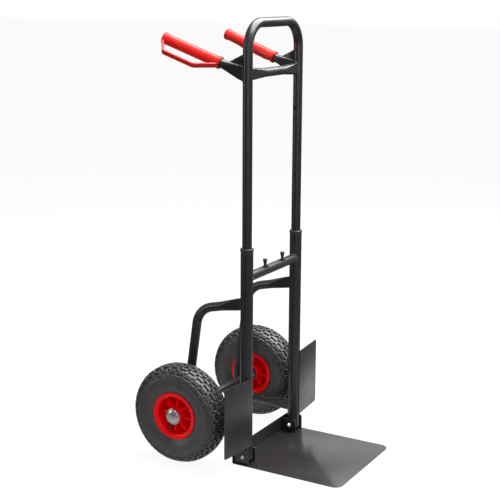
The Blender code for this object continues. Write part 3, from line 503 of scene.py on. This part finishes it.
# ---------------------------------------------------------------- toe plate
# One 2 mm sheet for the load to stand on, with its back edge folded up. Two ears on each side of
# the uprights carry the hinge bolts, so that the plate folds up flat.
toe_low, toe_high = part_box("toe_plate")
toe_half = toe_high.x
toe_t = 2 * MM
fold_r = 3 * MM
flange_top = 41 * MM
fold_y = toe_high.y - fold_r
corners = [Vector((-toe_half, fold_y, 0)), Vector((-toe_half, toe_low.y, 0)),
           Vector((toe_half, toe_low.y, 0)), Vector((toe_half, fold_y, 0))]
bm = sheet(corners, [0, 22, 22, 0], UP * toe_t, 0.5)
back_face = max(bm.faces, key=lambda f: f.calc_center_median().y)
swung = bmesh.ops.spin(bm, geom=[back_face], cent=(0, fold_y, fold_r), axis=(1, 0, 0), angle=math.pi / 2,
                       dvec=(0, 0, 0), steps=6, use_duplicate=False)["geom_last"]
end_faces = [g for g in swung if isinstance(g, bmesh.types.BMFace)]
raised = bmesh.ops.extrude_face_region(bm, geom=end_faces)["geom"]
raised_verts = [g for g in raised if isinstance(g, bmesh.types.BMVert)]
bmesh.ops.translate(bm, vec=UP * (flange_top - fold_r), verts=raised_verts)
# The fold leaves the faces that it started and ended on inside the sheet.
inner_faces = [f for f in bm.faces if all(len(e.link_faces) > 2 for e in f.edges)]
bmesh.ops.delete(bm, geom=inner_faces, context="FACES_ONLY")
make_piece("folded_load_sheet", bm, powder_coat, "toe", ["toe_plate"])

ear_t = 3 * MM
ear_front = -17 * MM
ear_back = toe_high.y - toe_t - 0.4 * MM
ear_gap = (lower_r + fit) * MM
for s, side in SIDES:
    inner = f"{side}_inner_ear"
    inner_low, inner_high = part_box(inner)
    # (face next to the upright, way it faces, top, radius of the front top corner, foot, name, CAD nodes)
    ears = ((s * (upright_x + ear_gap), s, 44 * MM, 10, 0.6 * MM, f"{side}_outer_hinge_ear", ()),
            (s * (upright_x - ear_gap), -s, inner_high.z, 5, inner_low.z, f"{side}_inner_hinge_ear",
             (inner,)))
    for x, way, top, nose, foot, name, stands_for in ears:
        outline = [Vector((x, ear_back, foot)), Vector((x, ear_front, foot)), Vector((x, ear_front, top)),
                   Vector((x, ear_back, top))]
        bm = sheet(outline, [4, 0, nose, 3], ACROSS * (way * ear_t))
        make_piece(name, bm, powder_coat, "toe", stands_for)

# ---------------------------------------------------------------- hinge bolts
# Zinc-plated steel bolts with low dome heads outside, and dome nuts inside, go through the ears and
# the feet. The toe plate turns on them.
for s, side in SIDES:
    outward = ACROSS * s
    at = Vector((0, hinge_at.y, hinge_at.z))
    low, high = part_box(f"{side}_hinge_bolt")
    start, tip = sorted((abs(low.x) / MM, abs(high.x) / MM))
    seat = upright_x / MM + lower_r + 3.6
    shape = [(0, start), (3.6, start), (4, start + 0.6), (4, seat), (6.9, seat), (7, seat + 0.5),
             (6.7, seat + 1.6), (5.4, seat + 3.0), (3.2, tip - 0.5), (2.4, tip - 0.2), (1.6, tip - 1.6),
             (0, tip - 1.8)]
    bm = turn_profile(shape, at, outward, 40)
    make_piece(f"{side}_dome_bolt", bm, zinc_plate, "frame", [f"{side}_hinge_bolt"], 50)
    low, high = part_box(f"{side}_hinge_nut")
    tip, seat = sorted((abs(low.x) / MM, abs(high.x) / MM))
    shape = [(4.3, seat), (6.8, seat), (7.3, seat - 0.6), (7.3, seat - 5), (6.4, seat - 6), (5.6, seat - 8.4),
             (4.4, seat - 10.2), (2.6, tip + 0.5), (0, tip), (0, tip + 1.6), (4.3, tip + 1.6)]
    bm = turn_profile(shape, at, outward, 40)
    make_piece(f"{side}_dome_nut", bm, zinc_plate, "frame", [f"{side}_hinge_nut"])

# ---------------------------------------------------------------- upper frame
# One tube, 24 mm across, bent into an upside-down U. It slides inside the lower uprights, and the
# lock pins go into holes drilled in its inner faces at two heights.
u_low, u_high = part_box("upper_u_tube")
u_top = u_high.z - upper_r * MM
bend_r = 64 * MM
corners = [Vector((-upright_x, 0, u_low.z)), Vector((-upright_x, 0, u_top)), Vector((upright_x, 0, u_top)),
           Vector((upright_x, 0, u_low.z))]
bm = draw_tube(corners, [bend_r, bend_r], upper_r * MM, 40)
hand_frame = make_piece("upper_hand_frame", bm, powder_coat, "handle", ["upper_u_tube"], crease=24)
hole_r = 4.6 * MM
hole_x = 115 * MM
slide_travel = 400 * MM
for s, side in SIDES:
    for height in (latch_z, latch_z + slide_travel):
        drill = bmesh.new()
        turned = Matrix.Translation((s * hole_x, 0, height)) @ Matrix.Rotation(math.pi / 2, 4, "Y")
        bmesh.ops.create_cone(drill, cap_ends=True, segments=24, radius1=hole_r, radius2=hole_r,
                              depth=14 * MM, matrix=turned)
        cut_away(hand_frame, drill)

# ---------------------------------------------------------------- cross tube and handle tubes
# The cross tube ties the two legs together below the top bend. A handle tube leaves the back of
# each leg, rising and spreading outwards. Their ends are pressed tall and thin, and welded on.
cross_z = middle("handle_cross_tube").z
cross_r = 11.3 * MM
half_span = upright_x - 6 * MM
bm = draw_tube([Vector((-half_span, 0, cross_z)), Vector((half_span, 0, cross_z))], [], cross_r, 40)
for s, side in SIDES:
    end = Vector((s * half_span, 0, cross_z))
    press_end(bm, end, -ACROSS * s, BACK, 76 * MM, 16 * MM, 6 * MM, 1.34)
make_piece("pressed_cross_tube", bm, powder_coat, "handle", ["handle_cross_tube"], crease=24)

handle_z = 994 * MM
rise = math.radians(20.2)
splay = math.radians(5.15)
handle_r = 11 * MM
handle_line = {}
for s, side in SIDES:
    origin = Vector((s * upright_x, 0, handle_z))
    along = Vector((s * math.sin(splay) * math.cos(rise), math.cos(splay) * math.cos(rise), math.sin(rise)))
    level = along.cross(UP).normalized()
    above = level.cross(along).normalized()
    handle_line[side] = (origin, along, level, above)
    start = origin + along * (5 * MM)
    bm = draw_tube([start, origin + along * (236 * MM)], [], handle_r, 40)
    press_end(bm, start, along, level, 62 * MM, 14 * MM, 5.4 * MM, 1.68)
    make_piece(f"{side}_pressed_handle_tube", bm, powder_coat, "handle", [f"{side}_handle_tube"], crease=24)
    flat = Vector((along.x, along.y, 0)).normalized()
    base = origin + flat * (upper_r * MM - 1 * MM)
    outline = [base + UP * (12 * MM), origin + along * (56 * MM) + above * (8 * MM),
               origin + along * (56 * MM) + above * (13.4 * MM), base + UP * (50 * MM)]
    outline = [p - level * (1.5 * MM) for p in outline]
    bm = sheet(outline, [0, 0, 2, 2], level * (3 * MM))
    make_piece(f"{side}_web_plate", bm, powder_coat, "handle", [f"{side}_handle_gusset"])

# ---------------------------------------------------------------- welds
# Beads of MIG weld under the same coat run round every joint between tubes; their lighter grey is a
# painted highlight. The metal was laid in overlapping drops, so each bead is a string of ripples.


def weld_bead(name, body, loop, size, closed=True):
    """Draw a rippled bead along points in metres; size is its half width in mm."""
    bm = bmesh.new()
    count = len(loop)
    drops = range(count if closed else count - 1)
    for i in drops:
        here, after = loop[i], loop[(i + 1) % count]
        drop = Matrix.Translation(here) @ (after - here).to_track_quat("Z", "Y").to_matrix().to_4x4()
        drop = drop @ Matrix.Diagonal((size * MM, size * MM, size * 0.8 * MM, 1))
        bmesh.ops.create_uvsphere(bm, u_segments=8, v_segments=6, radius=1.0, matrix=drop)
    make_piece(name, bm, weld_painted_highlight, body, crease=80)


# Coated weld: the same powder, with its colour painted lighter all over as a painted highlight for the glints
# on its ripples.
weld_painted_highlight = powder_coat.copy()
weld_painted_highlight.name = "coated_mig_weld_painted_highlight"
weld_shader = weld_painted_highlight.node_tree.nodes["Principled BSDF"]
weld_highlight_tint = weld_shader.inputs["Base Color"].links[0].from_node
# These lighter greys are the painted highlight on the welds.
weld_highlight_tint.inputs[6].default_value = linear("#3c3c3d")
weld_highlight_tint.inputs[7].default_value = linear("#565656")


def round_upright(radius, half_wide, half_tall, centre, direction, count=40):
    """Loop where an oval tube meets an upright, for a tube that leaves it along a level direction."""
    loop = []
    sideways = direction.cross(UP)
    for i in range(count):
        t = 2 * math.pi * i / count
        wide = half_wide * math.cos(t)
        out = math.sqrt(radius ** 2 - wide ** 2)
        loop.append(centre + sideways * wide + direction * out + UP * (half_tall * math.sin(t)))
    return loop


for s, side in SIDES:
    x = s * upright_x
    inward = -ACROSS * s
    loop = round_upright(upper_r * MM, 6 * MM, 15 * MM, Vector((x, 0, cross_z)), inward, 30)
    weld_bead(f"{side}_cross_weld", "handle", loop, 1.5)
    loop = round_upright(lower_r * MM, 12 * MM, 12 * MM, Vector((x, 0, latch_z)), inward, 32)
    weld_bead(f"{side}_latch_weld", "frame", loop, 1.5)
    loop = round_upright(lower_r * MM, 6 * MM, 15.4 * MM, Vector((x, 0, side_top - 1.7 * MM)), BACK, 30)
    weld_bead(f"{side}_upper_side_weld", "frame", loop, 1.5)
    loop = round_upright(lower_r * MM, 6 * MM, 16 * MM, Vector((x, 0, side_foot)), BACK, 30)
    weld_bead(f"{side}_lower_side_weld", "frame", loop, 1.5)
    origin, along, level, above = handle_line[side]
    flat = Vector((along.x, along.y, 0)).normalized()
    loop = round_upright(upper_r * MM, 5.4 * MM, 19.6 * MM, Vector((x, 0, handle_z + 4 * MM)), flat, 34)
    weld_bead(f"{side}_handle_weld", "handle", loop, 2.0)
    slope = ((26, 17.4), (30, 16.6), (34, 15.9), (38, 15), (42, 14.1), (46, 13.3), (50, 12.4))
    ridge = [origin + along * (d * MM) + above * (h * MM) for d, h in slope]
    weld_bead(f"{side}_web_weld", "handle", [p + level * (2 * MM) for p in ridge], 1.7, closed=False)

# ---------------------------------------------------------------- grips
# Each grip is one glossy red moulding pushed over the handle tube: a smooth sleeve with a ribbed
# collar in front and a closed back end, and a flat strap that guards the knuckles.

# Red PVC: smooth and glossy as it comes from the mould, orange red, with faint swirls of pigment.
red_pvc, tree, shader = new_material("glossy_red_pvc", roughness=0.28)
place = add_node(tree, "ShaderNodeTexCoord").outputs["Object"]
swirl = add_node(tree, "ShaderNodeTexNoise", {"Vector": place, "Scale": 1 / (25 * MM), "Detail": 3.0})
blush = add_node(tree, "ShaderNodeValToRGB", {"Fac": swirl.outputs["Fac"]})
blush.color_ramp.elements[0].position = 0.25
blush.color_ramp.elements[0].color = linear("#bc1d1a")
blush.color_ramp.elements[1].position = 0.8
blush.color_ramp.elements[1].color = linear("#c72820")
tree.links.new(blush.outputs[0], shader.inputs["Base Color"])
fine = add_node(tree, "ShaderNodeTexNoise", {"Vector": place, "Scale": 1 / (1.4 * MM), "Detail": 2.0})
skin = add_node(tree, "ShaderNodeBump", {"Height": fine.outputs["Fac"], "Strength": 0.1,
                                         "Distance": 0.08 * MM})
tree.links.new(skin.outputs[0], shader.inputs["Normal"])
shader.inputs["Specular IOR Level"].default_value = 0.16



def join_in(bm, extra):
    """Add the faces of another bmesh to this one, and free the other."""
    carrier = bpy.data.meshes.new("carrier")
    extra.to_mesh(carrier)
    extra.free()
    bm.from_mesh(carrier)
    bpy.data.meshes.remove(carrier)


grip_start, grip_end = 77, 242
grip_r, ring_r = 14.0, 15.6
guard_tilt = math.radians(28)
strap_size = Matrix.Diagonal((13 * MM, 6 * MM, 1, 1))
strap_out = 48 * MM
for s, side in SIDES:
    origin, along, level, above = handle_line[side]
    shape = [(11.3, grip_start), (ring_r - 1.2, grip_start), (ring_r - 0.3, grip_start + 0.4),
             (ring_r, grip_start + 1.2), (ring_r, grip_start + 2.4), (ring_r - 0.8, grip_start + 2.9),
             (ring_r - 0.8, grip_start + 3.7), (ring_r, grip_start + 4.2), (ring_r, grip_start + 6),
             (ring_r - 0.5, grip_start + 6.9), (grip_r + 0.2, grip_start + 7.4), (grip_r, grip_start + 8.4),
             (grip_r - 0.1, grip_start + 60), (grip_r, grip_end - 8), (grip_r + 0.3, grip_end - 7),
             (ring_r - 0.3, grip_end - 6.2), (ring_r, grip_end - 5.4), (ring_r, grip_end - 2),
             (ring_r - 0.4, grip_end - 0.8), (ring_r - 1.6, grip_end - 0.2), (12, grip_end), (0, grip_end),
             (0, grip_end - 4), (11.3, grip_end - 4)]
    bm = turn_profile(shape, origin, along, 56)
    out = Vector((s * math.cos(guard_tilt), 0, -math.sin(guard_tilt)))
    out = (out - along * out.dot(along)).normalized()
    normal = along.cross(out).normalized()
    foot = 12.4 * MM
    corners = [(grip_start + 4, foot), (126, strap_out), (213, strap_out), (grip_end - 4, foot)]
    corners = [origin + along * (a * MM) + out * b for a, b in corners]
    heading = (corners[1] - corners[0]).normalized()
    section = Matrix((normal, heading.cross(normal), heading)).transposed().to_4x4()
    section = Matrix.Translation(corners[0]) @ section @ strap_size
    strap = bmesh.new()
    bmesh.ops.create_grid(strap, x_segments=1, y_segments=1, size=0.5, matrix=section)
    bmesh.ops.bevel(strap, geom=list(strap.verts), offset=2.2 * MM, offset_type="OFFSET", segments=5,
                    profile=0.5, affect="VERTICES", clamp_overlap=True, material=-1)
    bmesh.ops.delete(strap, geom=list(strap.faces), context="FACES_ONLY")
    sweep(strap, list(strap.edges), corners, [20 * MM, 9 * MM])
    join_in(bm, strap)
    make_piece(f"{side}_moulded_grip", bm, red_pvc, "handle", [f"{side}_grip"], 40)

# ---------------------------------------------------------------- tyres
# Air tyres, 260 mm across. The sidewall is smooth with fine moulded rings and a row of shallow
# dashes, and rows of square blocks, staggered by half a block, stand on the tread and shoulders.

# Moulded rubber: nearly matt black-grey, with dust on it and a faint sheen where it curves.
tyre_rubber, tree, shader = new_material("moulded_tyre_rubber")
place = add_node(tree, "ShaderNodeTexCoord").outputs["Object"]
dust = add_node(tree, "ShaderNodeTexNoise", {"Vector": place, "Scale": 1 / (30 * MM), "Detail": 4.0})
black = add_node(tree, "ShaderNodeValToRGB", {"Fac": dust.outputs["Fac"]})
black.color_ramp.elements[0].position = 0.3
black.color_ramp.elements[0].color = linear("#272524")
black.color_ramp.elements[1].position = 0.75
black.color_ramp.elements[1].color = linear("#353230")
tree.links.new(black.outputs[0], shader.inputs["Base Color"])
dull = add_node(tree, "ShaderNodeMapRange", {"Value": dust.outputs["Fac"], "To Min": 0.34, "To Max": 0.5})
tree.links.new(dull.outputs[0], shader.inputs["Roughness"])
pores = add_node(tree, "ShaderNodeTexNoise", {"Vector": place, "Scale": 1 / (1.2 * MM), "Detail": 3.0})
skin = add_node(tree, "ShaderNodeBump", {"Height": pores.outputs["Fac"], "Strength": 0.3,
                                         "Distance": 0.15 * MM})
tree.links.new(skin.outputs[0], shader.inputs["Normal"])

BLOCKS = 30
FIRST_BLOCK = math.radians(2)


def both_sides(half):
    """Profile points on the outer half, followed by the same points on the inner half."""
    return half + [(r, -x) for r, x in reversed(half) if x > 0]


def tread_block(bm, centre, axis, turn, place_at, tilt, size, height, taper):
    """One block on the tyre: place_at is (radius, side) of its top, size (round the tyre, across it)."""
    radius, side = place_at
    spoke = (Matrix.Rotation(turn, 3, axis) @ UP).normalized()
    lift = (spoke * math.cos(tilt) + axis * math.copysign(math.sin(tilt), side)).normalized()
    round_way = axis.cross(spoke).normalized()
    at = centre + spoke * (radius * MM) + axis * (side * MM) - lift * (height * MM / 2)
    frame_of = Matrix((round_way, lift.cross(round_way), lift)).transposed().to_4x4()
    local = Matrix.Translation(at) @ frame_of
    whole = local @ Matrix.Diagonal((size[0] * MM, size[1] * MM, height * MM, 1))
    verts = bmesh.ops.create_cube(bm, size=1.0, matrix=whole)["verts"]
    top = [v for v in verts if (v.co - at).dot(lift) > 0]
    bmesh.ops.scale(bm, vec=(taper, taper, 1), space=local.inverted(), verts=top)


# (radius of the top, side, tilt in degrees, length round, width across, height, half a block on, taper)
BLOCK_ROWS = ((129.5, 5.2, 2, 21, 8.4, 5, 1, 0.9), (128.2, 15.6, 12, 22, 8.6, 5.5, 0, 0.92),
              (125.2, 24.2, 25, 9, 10, 5.4, 1, 0.9), (120.4, 32.2, 44, 21, 8.6, 6, 0, 0.92),
              (115.4, 37.0, 56, 9.5, 8, 4.6, 1, 0.9), (111.4, 39.6, 66, 23.6, 3.4, 3.6, 0, 0.95),
              (105.6, 41.4, 82, 14, 3.4, 1.8, 1, 0.9))
for s, side in SIDES:
    wheel_at = middle(f"{side}_rim")
    axis = ACROSS * s
    outside = [(53.8, 24), (53.8, 31.2), (56, 32.4), (62.4, 32.4), (64, 33.2), (66.5, 34.6), (70, 36.6),
               (74, 38.2), (78.6, 39.6), (80.8, 40.1), (81.4, 40.7), (82.6, 40.8), (83.2, 40.4), (88, 41.0),
               (92, 41.2), (98, 41.2), (98.8, 41.6), (100, 41.6), (100.8, 41.1), (104, 40.8), (108, 39.4),
               (110, 38.2), (112, 36.6), (115, 33.8), (118, 30), (121, 25.4), (123.4, 19), (124.8, 11),
               (125.2, 3)]
    inside = [(121.5, 8), (117, 21), (104, 31), (86, 33), (66, 25.6)]
    hollow = [(r, -x) for r, x in reversed(inside)] + inside
    bm = turn_profile(both_sides(outside) + hollow, wheel_at, axis, 112)
    blocks = bmesh.new()
    for radius, across_mm, tilt, long_mm, wide_mm, high_mm, half_on, taper in BLOCK_ROWS:
        for way in (1, -1):
            shift = 0.5 * half_on + (0.5 if way < 0 else 0)
            for i in range(BLOCKS):
                turn = FIRST_BLOCK + 2 * math.pi * (i + shift) / BLOCKS
                tread_block(blocks, wheel_at, axis, turn, (radius, way * across_mm), math.radians(tilt),
                            (long_mm, wide_mm), high_mm, taper)
    bmesh.ops.bevel(blocks, geom=list(blocks.edges), offset=0.7 * MM, offset_type="OFFSET", segments=1,
                    profile=0.5, affect="EDGES", clamp_overlap=True, material=-1)
    join_in(bm, blocks)
    make_piece(f"{side}_block_tyre", bm, tyre_rubber, f"{side}_wheel", [f"{side}_tyre"], 30)

# ---------------------------------------------------------------- rims
# One red polypropylene moulding each: a deep dish with eight thin webs on both faces, a hub with
# a bearing seat in each end, and a broad flat lip that the tyre's bead sits under.

# Glossy polypropylene: deep saturated red, with slight flow marks. Light soaks a few millimetres
# into it, so the dish is less dark than its depth would make it.
red_polypropylene, tree, shader = new_material("glossy_red_polypropylene", roughness=0.3)
place = add_node(tree, "ShaderNodeTexCoord").outputs["Object"]
flow = add_node(tree, "ShaderNodeTexNoise", {"Vector": place, "Scale": 1 / (18 * MM), "Detail": 3.0,
                                             "Distortion": 0.6})
depth = add_node(tree, "ShaderNodeValToRGB", {"Fac": flow.outputs["Fac"]})
depth.color_ramp.elements[0].position = 0.25
depth.color_ramp.elements[0].color = linear("#dd0009")
depth.color_ramp.elements[1].position = 0.8
depth.color_ramp.elements[1].color = linear("#ec020c")
tree.links.new(depth.outputs[0], shader.inputs["Base Color"])
mould = add_node(tree, "ShaderNodeTexNoise", {"Vector": place, "Scale": 1 / (3 * MM), "Detail": 2.0})
wave = add_node(tree, "ShaderNodeBump", {"Height": mould.outputs["Fac"], "Strength": 0.12,
                                         "Distance": 0.12 * MM})
tree.links.new(wave.outputs[0], shader.inputs["Normal"])
shader.inputs["Specular IOR Level"].default_value = 0.15
shader.inputs["Subsurface Weight"].default_value = 0.4
shader.inputs["Subsurface Radius"].default_value = (1.0, 0.1, 0.06)
shader.inputs["Subsurface Scale"].default_value = 8 * MM

RIBS = 8
rib_half = 1.3 * MM
stem_turn = math.radians(-62)
for s, side in SIDES:
    wheel_at = middle(f"{side}_rim")
    axis = ACROSS * s
    outside = [(12, 21.9), (17.8, 21.9), (17.8, 33.0), (18.3, 33.5), (22, 33.5), (22.5, 33.0), (23.4, 5.0),
               (25, 3.5), (45, 3.5), (47.4, 5.6), (49.2, 28), (49.8, 30.6), (51.0, 32.2), (53.0, 33.2),
               (59.6, 34.6), (61.2, 34.6), (62.1, 33.9), (62.1, 32.7), (60.5, 32.0), (53, 31.6), (52, 20)]
    bm = turn_profile(both_sides(outside), wheel_at, axis, 96)
    for i in range(RIBS):
        turn = 2 * math.pi * (i + 0.5) / RIBS + stem_turn
        spoke = Vector((0, math.cos(turn), math.sin(turn)))
        across = axis.cross(spoke).normalized()
        near_face = wheel_at - across * rib_half
        for face in (1, -1):
            shape = ((21.5, 2.5), (49, 2.5), (49, 22), (21.5, 27))
            outline = [near_face + spoke * (r * MM) + axis * (face * x * MM) for r, x in shape]
            join_in(bm, sheet(outline, [0, 0, 0, 0], across * (2 * rib_half), 0.5))
    rim = f"{side}_rim"
    make_piece(f"{side}_dished_rim", bm, red_polypropylene, f"{side}_wheel", [rim], 30)

# ---------------------------------------------------------------- bearings and valve caps
# A sealed ball bearing is pressed into each end of the hub. The air tube's stem comes through the
# barrel of the rim, and a black cap screws onto it; the cap is drawn plain, without its ribbed grip.

# Nitrile seal: dull black rubber under a thin, uneven film of grease.
black_nitrile, tree, shader = new_material("moulded_black_nitrile")
place = add_node(tree, "ShaderNodeTexCoord").outputs["Object"]
grease = add_node(tree, "ShaderNodeTexNoise", {"Vector": place, "Scale": 1 / (4 * MM), "Detail": 2.0})
film = add_node(tree, "ShaderNodeMapRange", {"Value": grease.outputs["Fac"], "To Min": 0.3, "To Max": 0.6})
tree.links.new(film.outputs[0], shader.inputs["Roughness"])
soot = add_node(tree, "ShaderNodeValToRGB", {"Fac": grease.outputs["Fac"]})
soot.color_ramp.elements[0].color = linear("#121212")
soot.color_ramp.elements[1].color = linear("#1d1c1c")
tree.links.new(soot.outputs[0], shader.inputs["Base Color"])

for s, side in SIDES:
    for seat in ("inner", "outer"):
        bearing = f"{side}_{seat}_bearing"
        low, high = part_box(bearing)
        near, far = sorted((abs(low.x) / MM, abs(high.x) / MM))
        shape = [(8.1, near), (10.2, near), (10.6, near + 0.8), (14.6, near + 0.8), (15, near), (17, near),
                 (17.5, near + 0.5), (17.5, far - 0.5), (17, far), (15, far), (14.6, far - 0.8),
                 (10.6, far - 0.8), (10.2, far), (8.1, far)]
        bm = turn_profile(shape, axle_mid, ACROSS * s, 48)
        name = f"{side}_{seat}_sealed_bearing"
        make_piece(name, bm, black_nitrile, f"{side}_wheel", [bearing])
    cap_at = middle(f"{side}_valve_cap")
    wheel_at = middle(f"{side}_rim")
    inward = Vector((0, wheel_at.y - cap_at.y, wheel_at.z - cap_at.z)).normalized()
    shape = [(0, -4.9), (3.3, -4.9), (3.8, -4.3), (3.8, 2.6), (3.3, 3.2), (3.2, 4.2), (2.5, 4.9), (0, 4.9)]
    bm = turn_profile(shape, cap_at, inward, 24)
    make_piece(f"{side}_screw_cap", bm, black_nylon, f"{side}_wheel", [f"{side}_valve_cap"])

# ---------------------------------------------------------------- hidden pieces
# The pieces inside the tubes and tyres keep their plain forms: springs, lock pins, the stop they
# push against, the nylon glides on the upper frame, and the air tubes with their stems.

# Spring wire: cold-drawn steel, darker than zinc, with fine drawing marks.
drawn_steel, tree, shader = new_material("cold_drawn_steel", metallic=1.0)
place = add_node(tree, "ShaderNodeTexCoord").outputs["Object"]
draw = add_node(tree, "ShaderNodeTexNoise", {"Vector": place, "Scale": 1 / (0.8 * MM), "Detail": 2.0})
grey = add_node(tree, "ShaderNodeValToRGB", {"Fac": draw.outputs["Fac"]})
grey.color_ramp.elements[0].color = linear("#77787a")
grey.color_ramp.elements[1].color = linear("#98999b")
tree.links.new(grey.outputs[0], shader.inputs["Base Color"])
sheen = add_node(tree, "ShaderNodeMapRange", {"Value": draw.outputs["Fac"], "To Min": 0.3, "To Max": 0.45})
tree.links.new(sheen.outputs[0], shader.inputs["Roughness"])

# Lock pin steel: a dark grey painted shade, so that the pins stay dark where they show through the knob
# slots, matt with a fine crystal grain.
pin_painted_shade, tree, shader = new_material("pin_steel_painted_shade", metallic=0.3)
place = add_node(tree, "ShaderNodeTexCoord").outputs["Object"]
crystal = add_node(tree, "ShaderNodeTexNoise", {"Vector": place, "Scale": 1 / (0.7 * MM), "Detail": 2.0})
pin_shade_ramp = add_node(tree, "ShaderNodeValToRGB", {"Fac": crystal.outputs["Fac"]})
pin_shade_ramp.color_ramp.elements[0].color = linear("#1b1b1c")
pin_shade_ramp.color_ramp.elements[1].color = linear("#28282a")
tree.links.new(pin_shade_ramp.outputs[0], shader.inputs["Base Color"])
matt = add_node(tree, "ShaderNodeMapRange", {"Value": crystal.outputs["Fac"], "To Min": 0.45, "To Max": 0.6})
tree.links.new(matt.outputs[0], shader.inputs["Roughness"])

finishes = {"latch_stop": black_nylon}
for s, side in SIDES:
    finishes[f"{side}_latch_spring"] = drawn_steel
    # The lock pins carry the dark grey painted shade.
    finishes[f"{side}_latch_pin"] = pin_painted_shade
    finishes[f"{side}_glide"] = black_nylon
    finishes[f"{side}_inner_tube"] = tyre_rubber
for name, finish in finishes.items():
    nodes[name].data.materials.clear()
    nodes[name].data.materials.append(finish)
